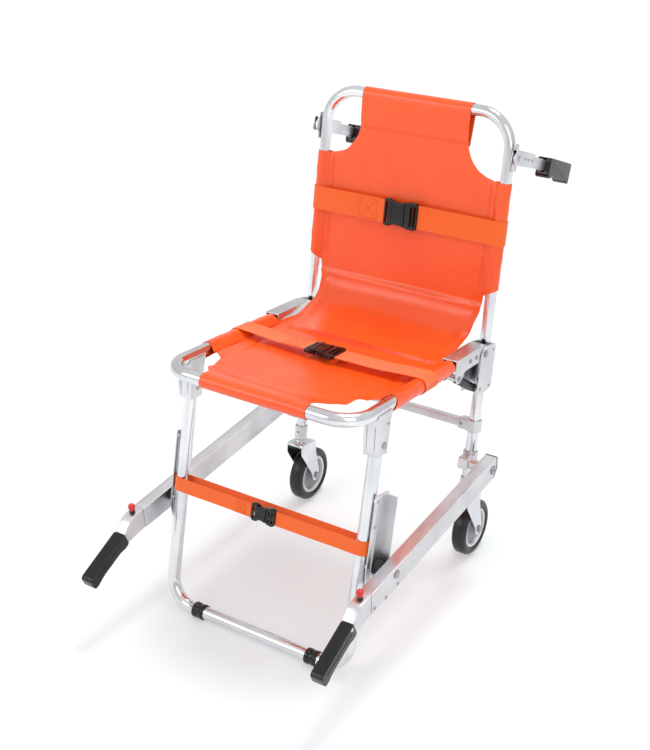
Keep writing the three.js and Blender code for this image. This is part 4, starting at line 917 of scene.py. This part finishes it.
pair(ring, "plunger_collar", FRONT_HANDLE, "plunger_knob", BLACK)
stem = pin("z", 3.2, RAIL_MIDDLE - 5, seat_z + 0.5, PLUNGER)
pair(stem, "plunger_stem", FRONT_HANDLE, "plunger_knob", CHROME)


# ---- the sling, one sheet from the top bar to the front bar

CLOTH = 1.2
BACK_PLANE = -2  # where the back's cloth runs behind the tubes' middle
BACK_SLEEVE, SEAT_SLEEVE = (577, 787), (-119, -324)
BAR_BACK, BAR_SEAT = BACK_R + 0.5 + CLOTH / 2, SEAT_R + 0.5 + CLOTH / 2
FLAP_HALF, FRONT_HALF, FLAP_HEM, EDGE, SEAM = 117, 111, 842, 186, 178


def lerp_table(table, value):
    """Looks a value up in a table of (key, result) pairs with rising keys."""
    if value <= table[0][0]:
        return table[0][1]
    for (k0, r0), (k1, r1) in zip(table, table[1:]):
        if value <= k1:
            return r0 + (r1 - r0) * (value - k0) / (k1 - k0)
    return table[-1][1]


def smoothstep(t):
    t = min(max(t, 0), 1)
    return t * t * (3 - 2 * t)


def edge_table(corners):
    """Half-width against length, from an outline with rounded corners."""
    return sorted((p[1], p[0]) for p in outline([(0, 2000)] + corners + [(0, -2000)], 0, 8)[1:-1])


BACK_EDGE = edge_table([(FLAP_HALF, 1000), (FLAP_HALF, 832, 24), (147, 796, 13), (EDGE, 785.2, 3),
                        (EDGE, BACK_SLEEVE[0], 2), (183, 547), (176, 500)])
SEAT_EDGE = edge_table([(EDGE, 0), (EDGE, -322, 3), (150, -346, 16), (138, -408, 18), (FRONT_HALF, -438, 6),
                        (FRONT_HALF, -1000)])

random.seed(7)
WAVES = [(random.uniform(0.6, 2.2), random.uniform(0.5, 2.4), random.uniform(0, 6.28), random.uniform(0.4, 1))
         for _ in range(9)]


def ripple(x, along):
    """Slow unevenness of taut cloth, from -1 to 1."""
    total = sum(w * sin(a * x / 60 + b * along / 70 + c) for a, b, c, w in WAVES)
    return total / sum(w for *_, w in WAVES)


def pucker(x, along, half):
    """Small gathers that fade away from the seams."""
    near = exp(-max(half - abs(x), 0) / 16)
    return near * sin(along / 9.5 + 1.3 * sin(along / 37)) * 0.8


class Station:
    """One line across the sheet: a point on its centreline, the way out of its face and its half-width."""

    def __init__(self, where, along, half, out_y, out_z, y, z, dish=0.0, rough=0.0):
        self.where, self.along, self.half = where, along, half
        self.out, self.point = (out_y, out_z), (y, z)
        self.dish, self.rough = dish, rough

    def at(self, u):
        x = u * self.half
        groove = exp(-((abs(x) - 158 + 9 * sin(self.along / 95)) / 5.5) ** 2)
        uneven = ripple(x, self.along) + pucker(x, self.along, self.half) - 1.3 * groove
        lift = self.rough * uneven - self.dish * (1 - u * u)
        return self.where @ Vector((x, self.point[0] + self.out[0] * lift, self.point[1] + self.out[1] * lift))


def sling_stations():
    rows = []
    span = 0
    # the hem behind the top bar, then over the bar to the front
    for z in (FLAP_HEM, 848, 857, 866, 875, 884, 893, 902):
        rows.append(Station(BACK, span, FLAP_HALF, 1, 0, lerp_table([(FLAP_HEM, 3.2), (902, BAR_BACK)], z), z))
        span += 9
    for k in range(13):
        angle = radians(180 * k / 12)
        rows.append(Station(BACK, span, FLAP_HALF, cos(angle), sin(angle), BAR_BACK * cos(angle),
                            BACK_TOP + BAR_BACK * sin(angle)))
        span += 3
    z = 904
    while z > 547:
        front = front_of_back(z)
        calm = min(1, (BACK_TOP - z) / 60)
        deep = smoothstep((790 - z) / 120)
        rows.append(Station(BACK, span, lerp_table(BACK_EDGE, z), -1, 0, front, z, dish=3.5 * deep,
                            rough=1.5 * calm))
        step = 1.6 if 780 < z < 835 else 5
        z -= step
        span += step
    rows += bend_stations(span)
    span = rows[-1].along
    y = SEAT_SLEEVE[0]
    while y > -SEAT_REACH + 12:
        rise = SEAT_RISE + BAR_SEAT * smoothstep((-y - (SEAT_REACH - 75)) / 72)
        calm = min(1, (SEAT_REACH + y) / 60)
        rows.append(Station(SEAT, span, lerp_table(SEAT_EDGE, y), 0, 1, y, rise, dish=5 * min(1, calm * 1.2),
                            rough=1.7 * calm))
        step = 1.8 if y < -310 else 5
        y -= step
        span += step
    for k in range(15):
        angle = radians(90 + 205 * k / 14)
        rows.append(Station(SEAT, span, FRONT_HALF, cos(angle), sin(angle),
                            -SEAT_REACH + BAR_SEAT * cos(angle), SEAT_RISE + BAR_SEAT * sin(angle)))
        span += 3.3
    for k in range(1, 5):
        y = -SEAT_REACH + BAR_SEAT * cos(radians(295)) + k * 5
        z = SEAT_RISE + lerp_table([(0, BAR_SEAT * sin(radians(295))), (4, -3.2)], k)
        rows.append(Station(SEAT, span, FRONT_HALF, -0.2, -1, y, z))
        span += 5
    return rows


def bend_stations(span):
    """The part between the back and the seat, on a smooth curve in the row frame."""
    start, end = BACK @ Vector((0, BACK_PLANE, 545)), SEAT @ Vector((0, -117, SEAT_RISE))
    down = (BACK.to_3x3() @ Vector((0, 0, -1))).normalized() * 58 * MM
    behind = (SEAT.to_3x3() @ Vector((0, 1, 0))).normalized() * 78 * MM
    controls = [start, start + down, end + behind, end]
    rows, count = [], 34
    for k in range(count + 1):
        t = k / count
        weights = ((1 - t) ** 3, 3 * t * (1 - t) ** 2, 3 * t * t * (1 - t), t ** 3)
        place = sum((p * w for p, w in zip(controls, weights)), Vector())
        slopes = (-3 * (1 - t) ** 2, 3 * (1 - t) ** 2 - 6 * t * (1 - t), 6 * t * (1 - t) - 3 * t * t, 3 * t * t)
        tangent = sum((p * w for p, w in zip(controls, slopes)), Vector()).normalized()
        out = Vector((1, 0, 0)).cross(tangent)
        half = lerp_table([(0, 183), (0.25, 176.5), (0.75, 176.5), (1, EDGE)], t)
        mix = smoothstep(t)
        rows.append(Station(Matrix.Scale(MM, 4), span, half, out.y, out.z, place.y / MM, place.z / MM,
                            dish=3.5 + 1.5 * mix, rough=1.5 + 0.3 * sin(pi * t)))
        span += 6
    return rows


def grid(rows, count, at):
    """Verts and quads of a sheet of rows; at(row, u) gives a point, u from -1 to 1."""
    verts = [at(row, -1 + 2 * k / count) for row in rows for k in range(count + 1)]
    faces = []
    for i in range(len(rows) - 1):
        for k in range(count):
            a = i * (count + 1) + k
            faces.append((a, a + count + 1, a + count + 2, a + 1))
    return verts, faces


def sleeve_rows(where, radius, along, plane, section_at):
    """A teardrop of cloth round a side tube, seamed to the panel, for each length in along."""
    reach = HALF - SEAM
    spread = acos(radius / reach)
    first, last = pi - spread, -pi + spread
    rows = []
    for i, value in enumerate(along):
        points = [(-reach, plane + 0.9)]
        for k in range(25):
            angle = first + (last - first) * k / 24
            wobble = 0.35 * sin(value / 11 + 3 * angle) + 0.25 * sin(value / 5.3 - 2 * angle)
            size = radius + max(wobble, -0.2)
            points.append((size * cos(angle), size * sin(angle)))
        points.append((-reach, plane - 0.9))
        rows.append([where @ section_at(a, b, value) for a, b in points])
    return rows


def add_mesh(verts, faces, more, patches, order=1):
    """Adds a mesh's points and faces to another's, with order -1 turned inside out."""
    base = len(verts)
    verts += more
    faces += [tuple(base + i for i in patch[::order]) for patch in patches]


def strip_mesh(rows):
    """Points and faces of a strip through rows of points."""
    width = len(rows[0])
    verts = [p for row in rows for p in row]
    faces = [(i * width + k, (i + 1) * width + k, (i + 1) * width + k + 1, i * width + k + 1)
             for i in range(len(rows) - 1) for k in range(width - 1)]
    return verts, faces


def steps_between(low, high, size):
    count = max(1, round(abs(high - low) / size))
    return [low + (high - low) * k / count for k in range(count + 1)]


def slant(across, z):
    """The lower mouth of a back sleeve is cut on a slope, higher on its outer side."""
    low, high = BACK_SLEEVE
    return (high - z) / (high - low) * (5 - 20 * (BAR_BACK - across) / 35)


def jut(height, y):
    """The underside of a seat sleeve reaches further forward than its top, so its lining shows."""
    rear, front = SEAT_SLEEVE
    return (y - rear) / (rear - front) * 12 * (1 - height / BAR_SEAT)


def front_of_back(z):
    """Where the back's cloth runs at a height: over the bar at the top, behind the tubes' middle below."""
    return -BAR_BACK + (BAR_BACK + BACK_PLANE) * smoothstep((BACK_TOP - z) / 130)


def make_sling():
    verts, faces = grid(sling_stations(), 64, lambda row, u: row.at(u))
    for side in (1, -1):
        back_rows = sleeve_rows(BACK, BAR_BACK, steps_between(*BACK_SLEEVE, 4), BACK_PLANE,
                                lambda a, b, v, s=side: Vector((s * (HALF + a), -b, v + slant(a, v))))
        seat_rows = sleeve_rows(SEAT, BAR_SEAT, steps_between(*SEAT_SLEEVE, 4), 0,
                                lambda a, b, v, s=side: Vector((s * (HALF + a), v + jut(b, v), SEAT_RISE + b)))
        for rows in (back_rows, seat_rows):
            add_mesh(verts, faces, *strip_mesh(rows), order=side)
    mesh = bpy.data.meshes.new("sling")
    mesh.from_pydata([tuple(v) for v in verts], [], faces)
    piece = bpy.data.objects.new("sling", mesh)
    collection.objects.link(piece)
    return piece


sling = make_sling()
for one in (FABRIC, LINING):
    sling.data.materials.append(one)
modify(sling, "SOLIDIFY", thickness=CLOTH * MM, offset=0, material_offset=1, material_offset_rim=0)
place_piece(sling, "sling", None, None, [FABRIC, LINING],
            ["back_fabric", "sling_bend", "seat_fabric"], 60)


def dashes(points, pitch=4.6, length=3.0, radius=0.35):
    """A row of stitches along a line of points in metres: little closed lozenges."""
    verts, faces = [], []
    spans = [(b - a).length for a, b in zip(points, points[1:])]
    total, position = sum(spans), pitch * MM / 2
    while position < total:
        rest, i = position, 0
        while i < len(spans) - 1 and rest > spans[i]:
            rest -= spans[i]
            i += 1
        tangent = (points[i + 1] - points[i]).normalized()
        centre = points[i].lerp(points[i + 1], rest / spans[i])
        side = tangent.cross(Vector((0.3, 0.5, 0.8))).normalized()
        up = tangent.cross(side)
        base = len(verts)
        verts += [centre - tangent * length * MM / 2, centre + tangent * length * MM / 2]
        for shift in (-0.3, 0.3):
            for k in range(6):
                angle = pi * k / 3
                verts.append(centre + tangent * shift * length * MM
                             + (side * cos(angle) + up * sin(angle)) * radius * MM)
        for k in range(6):
            n = (k + 1) % 6
            faces += [(base, base + 2 + n, base + 2 + k), (base + 1, base + 8 + k, base + 8 + n),
                      (base + 2 + k, base + 2 + n, base + 8 + n, base + 8 + k)]
        position += pitch * MM
    return verts, faces


def stitch_object(lines, **sizes):
    verts, faces = [], []
    for line in lines:
        add_mesh(verts, faces, *dashes(line, **sizes))
    return made_object(verts, faces)


def sling_seams():
    lines = []
    for side in (1, -1):
        for inset in (1.5, 4.5):
            x = side * (SEAM - inset)
            lines.append([BACK @ Vector((x, BACK_PLANE - 2.4, z)) for z in steps_between(580, 782, 12)])
            lines.append([SEAT @ Vector((x, y, SEAT_RISE + 1.4)) for y in steps_between(-122, -320, 12)])
    for z in (FLAP_HEM + 4, FLAP_HEM + 8):
        lines.append([BACK @ Vector((x, front_of_back(z) - 1.4, z)) for x in steps_between(-112, 112, 12)])
    return lines


seams = stitch_object(sling_seams())
place_piece(seams, "sling_stitching", None, None, THREAD, (), 60)
bend_start, bend_end = BACK @ Vector((0, BACK_PLANE, 547)), SEAT @ Vector((0, -117, SEAT_RISE))
for soft in (sling, seams):
    tuple(bend_start)
    tuple(bend_end)
    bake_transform(soft)

# ---- straps and buckles, drawn in X and Y with the front at -Y

STRAP = 1.5
SELVEDGE, RIB_STEP = 2.2, 0.4  # the raised edge of the webbing, and the slope down from it
STRAPS = {
    "chest": dict(where=BACK @ Matrix.Translation((0, 0, 692.7)), body="back_frame", width=47, start=-42, end=32,
                  joint=4, dip=0, depth=12, inner=13.4, sewn=(-97, -58)),
    "lap": dict(where=SEAT @ Matrix.Translation((0, -212, SEAT_RISE)) @ Matrix.Rotation(-pi / 2, 4, "X"),
                body="seat", width=45, start=-45, end=21, joint=-5, dip=6, depth=11, inner=14.9, sewn=(-92, -60)),
    "leg": dict(where=LEG @ Matrix.Translation((0, 0, -191.6)), body="front_leg", width=27, start=-29, end=24,
                joint=4, dip=0, depth=12, inner=12.9, sewn=(-62, -42)),
}


def strap_line(strap):
    """The strap's middle line, from the buckle's socket round both side tubes to its plug."""
    radius, dip = strap["inner"] + STRAP / 2, strap["dip"]
    flat = dip - radius
    line = [Vector((strap["start"] - 0.4, flat))]
    if dip:
        line += [Vector((strap["start"] - 30, flat)), Vector((-110, flat)), Vector((-164, dip * 0.25 - radius))]
    else:
        line += [Vector((x, -radius + 0.5 * sin(x / 21))) for x in range(-60, -185, -12)]
    for centre, first, last in ((-HALF, -90, -270), (HALF, 90, -90)):
        for k in range(19):
            angle = radians(first + (last - first) * k / 18)
            line.append(Vector((centre + radius * cos(angle), radius * sin(angle))))
        if centre < 0:
            line += [Vector((x, radius)) for x in range(-180, 181, 20)]
    if dip:
        line += [Vector((164, dip * 0.25 - radius)), Vector((110, flat)), Vector((strap["end"] + 30, flat))]
    else:
        line += [Vector((x, -radius + 0.5 * sin(x / 19))) for x in range(180, 50, -12)]
    return line + [Vector((strap["end"] + 0.4, flat))]


def ribbon(line, width, thickness=STRAP):
    """A closed band with softened selvedges along a line in X and Y."""
    half, soft = width / 2, 0.5
    edge, plain = half - SELVEDGE, half - SELVEDGE - RIB_STEP
    section = symmetric([(-0.86, plain), (-1, edge), (-1, half - soft), (-0.5, half), (0.5, half), (1, half - soft),
                         (1, edge), (0.86, plain)])
    verts = []
    for i, point in enumerate(line):
        along = (line[min(i + 1, len(line) - 1)] - line[max(i - 1, 0)]).normalized()
        side = Vector((-along.y, along.x)) * thickness / 2
        verts += [(point.x + side.x * s, point.y + side.y * s, z) for s, z in section]
    m, n = len(section), len(line)
    faces = [(i * m + k, i * m + (k + 1) % m, (i + 1) * m + (k + 1) % m, (i + 1) * m + k)
             for i in range(n - 1) for k in range(m)]
    return made_object(verts, faces + [tuple(range(m)), tuple(range(m * n - 1, m * (n - 1) - 1, -1))])


def smooth_line(line):
    """One round of corner cutting, which keeps the ends."""
    out = [line[0]]
    for a, b in zip(line, line[1:]):
        out += [a.lerp(b, 0.25), a.lerp(b, 0.75)]
    return out + [line[-1]]


def buckle_parts(strap):
    """A side-release buckle: a socket with side windows and a slotted end, and a plug with prongs."""
    half, start, end, joint = strap["width"] / 2, strap["start"], strap["end"], strap["joint"]
    middle = strap["dip"] - strap["inner"] - STRAP / 2
    low, high = middle - strap["depth"] / 2, middle + strap["depth"] / 2
    body_from, shell_wall, through = start + 13, 2.6, (low - 4, high + 4)
    waist = (body_from + joint) / 2

    def slab(half_outline, y, *edge):
        made = flat_plate(symmetric(half_outline), y)
        return rounded(made, *edge) if edge else made

    shell = slab([(body_from - 3, half + 3, 5), (waist, half - 3, 6), (joint, half + 1, 3)], (low, high),
                 1.6, 4, 50)
    frame_end = slab([(start, half + 4, 6), (body_from + 1, half + 4, 3)], (low + 3, high - 2.5), 1.3, 3, 50)
    windows = [flat_plate([(joint - 19, s * (half - 4.5), 2), (joint - 7, s * (half - 5.5), 2),
                           (joint - 7, s * (half + 6), 0), (joint - 19, s * (half + 6), 0)][::s],
                          (low + shell_wall, high - shell_wall)) for s in (1, -1)]
    strap_slot = slab([(start + 3.6, half - 3, 1), (start + 8.6, half - 3, 1)], through)
    hollow = box((joint - 23, joint + 3), (low + shell_wall, high - shell_wall),
                 (shell_wall - half, half - shell_wall))
    thumb = slab([(body_from + 4, half * 0.45, 3), (joint - 6, half * 0.3, 3)], (low - 4, low + 0.7))
    socket = cut(join(shell, frame_end), strap_slot, hollow, thumb, *windows)
    base = slab([(joint + 0.4, half + 1, 2), (joint + 7, half + 3, 4), (end, half + 4, 8)],
                (low + 1.2, high - 1.2), 1.4, 4, 50)
    slot = min(4.6, (end - joint - 10) / 2.2)
    cut(base, *[slab([(x, half - 3.4, 1), (x + slot, half - 3.4, 1)], through)
                for x in (end - 3 - slot, end - 6 - 2 * slot)])
    inside = (low + 3.2, high - 3.2)
    prongs = [flat_plate([(joint + along, s * (half - inset), radius) for along, inset, radius in (
        (2, 9.5, 1), (2, 4, 1), (-6, 3.4, 1), (-10, 0.6, 2), (-17, 0.8, 2), (-18, 5, 2), (-8, 8.6, 1))][::s], inside)
        for s in (1, -1)]
    return socket, join(base, *prongs, box((joint - 14, joint + 2), inside, (-half * 0.16, half * 0.16)))


def sewn_lines(strap):
    """A box of stitches with a cross in it, on the face of the strap."""
    x0, x1 = strap["sewn"]
    z = strap["width"] / 2 - 4.5
    y = strap["dip"] - strap["inner"] - STRAP * 2 - 0.35
    corners = [(x0, -z), (x1, -z), (x1, z), (x0, z)]
    pairs = list(zip(corners, corners[1:] + corners[:1])) + [(corners[0], corners[2]), (corners[1], corners[3])]
    return [[strap["where"] @ Vector((a[0] + (b[0] - a[0]) * k / 8, y, a[1] + (b[1] - a[1]) * k / 8))
             for k in range(9)] for a, b in pairs]


for name, strap in STRAPS.items():
    place, body, width = strap["where"], strap["body"], strap["width"]
    line = smooth_line(strap_line(strap))
    length = sum((b - a).length for a, b in zip(line, line[1:]))
    web = place_piece(ribbon(line, width), f"{name}_webbing", place, body, WEBBING,
                      [f"{name}_strap"], 40)
    face_y = strap["dip"] - strap["inner"] - STRAP * 1.5 - 0.15
    ends = (strap["sewn"][0] - 6, strap["sewn"][1], strap["start"] - 0.5)
    fold = smooth_line([Vector((x, face_y)) for x in ends])
    ply = place_piece(ribbon(fold, width - 0.6, 1.3), f"{name}_fold", place, body, WEBBING, (), 40)
    thread = place_piece(stitch_object(sewn_lines(strap), pitch=3.4, length=2.4, radius=0.4), f"{name}_stitching",
                         None, body, THREAD, (), 60)
    for half, solid in zip(("socket", "plug"), buckle_parts(strap)):
        place_piece(solid, f"{name}_{half}", place, body, GLOSS_BLACK, [f"{name}_buckle_{half}"], 36)


# ---- floor, light and camera, in metres

FLOOR_HALF, FLOOR_GLOW = 9, 0.38
FLOOR_LOW, FLOOR_HIGH = (0.48, 0.50, 0.51, 1), (0.50, 0.52, 0.53, 1)
SUN_POWER, SUN_ANGLE, SUN_AIM = 1.7, radians(18), (-0.05, -0.30, -1)
LIGHT_AIM = Vector((0, 0, 0.5))
WORLD_POWER, WORLD_STOPS = 0.8, ((0.0, 1.0), (0.18, 0.84), (0.45, 0.95), (0.85, 1.0))
CAMERA_FROM_HINGE, CAMERA_LENS = Vector((1.1646, -2.0338, 1.0587)), 61.69
AZIMUTH, ELEVATION, ROLL = (radians(angle) for angle in (32.835, 26.41, -0.09))


def linked(name, data):
    made = bpy.data.objects.new(name, data)
    collection.objects.link(made)
    return made


def aimed(direction):
    return Vector(direction).to_track_quat("-Z", "Y")


def floor_material():
    made = Material("studio_floor", Emission_Color=(1, 1, 1, 1), Emission_Strength=FLOOR_GLOW,
                    Specular_IOR_Level=0.1)
    made.colour(made.noise(3, 2), FLOOR_LOW, FLOOR_HIGH)
    made.roughness(made.noise(20, 2), 0.6, 0.7)
    return made.material


def area_light(name, place, size, power):
    data = bpy.data.lights.new(name, "AREA")
    data.shape = "RECTANGLE"
    data.size, data.size_y = size
    data.energy = power
    made = linked(name, data)
    made.location = place
    made.rotation_euler = aimed(LIGHT_AIM - Vector(place)).to_euler()


floor_mesh = bpy.data.meshes.new("floor")
floor_mesh.from_pydata([(x * FLOOR_HALF, y * FLOOR_HALF, 0) for x, y in ((-1, -1), (1, -1), (1, 1), (-1, 1))], [],
                       [(0, 1, 2, 3)])
floor_mesh.materials.append(floor_material())
linked("floor", floor_mesh)

sun = bpy.data.lights.new("sky", "SUN")
sun.energy, sun.angle = SUN_POWER, SUN_ANGLE
linked("sky", sun).rotation_euler = aimed(SUN_AIM).to_euler()
area_light("fill", (2.2, -1.6, 2.2), (1.4, 2.2), 14)
area_light("front", (-1.4, -2.4, 1.9), (1.6, 1.2), 17)

world = bpy.data.worlds.new("studio")
scene.world = world
world.use_nodes = True
nodes, links = world.node_tree.nodes, world.node_tree.links
source = nodes.new("ShaderNodeTexCoord")
split = nodes.new("ShaderNodeSeparateXYZ")
ramp = nodes.new("ShaderNodeValToRGB")
links.new(source.outputs["Generated"], split.inputs[0])
links.new(split.outputs["Z"], ramp.inputs["Fac"])
elements = ramp.color_ramp.elements
elements[0].position, elements[1].position = WORLD_STOPS[0][0], WORLD_STOPS[-1][0]
for position, _ in WORLD_STOPS[1:-1]:
    elements.new(position)
for element, (_, level) in zip(elements, WORLD_STOPS):
    element.color = (level, level, level, 1)
links.new(ramp.outputs["Color"], nodes["Background"].inputs["Color"])
nodes["Background"].inputs["Strength"].default_value = WORLD_POWER

camera_data = bpy.data.cameras.new("camera")
camera = linked("camera", camera_data)
look = Vector((-sin(AZIMUTH) * cos(ELEVATION), cos(AZIMUTH) * cos(ELEVATION),
               -sin(ELEVATION)))
camera.location = Vector(joint_point("seat_fold")) + CAMERA_FROM_HINGE
camera.rotation_mode = "QUATERNION"
camera.rotation_quaternion = aimed(look) @ Matrix.Rotation(ROLL, 3, "Z").to_quaternion()
camera_data.sensor_fit = "AUTO"
camera_data.sensor_width = 36
camera_data.lens = CAMERA_LENS
scene.camera = camera
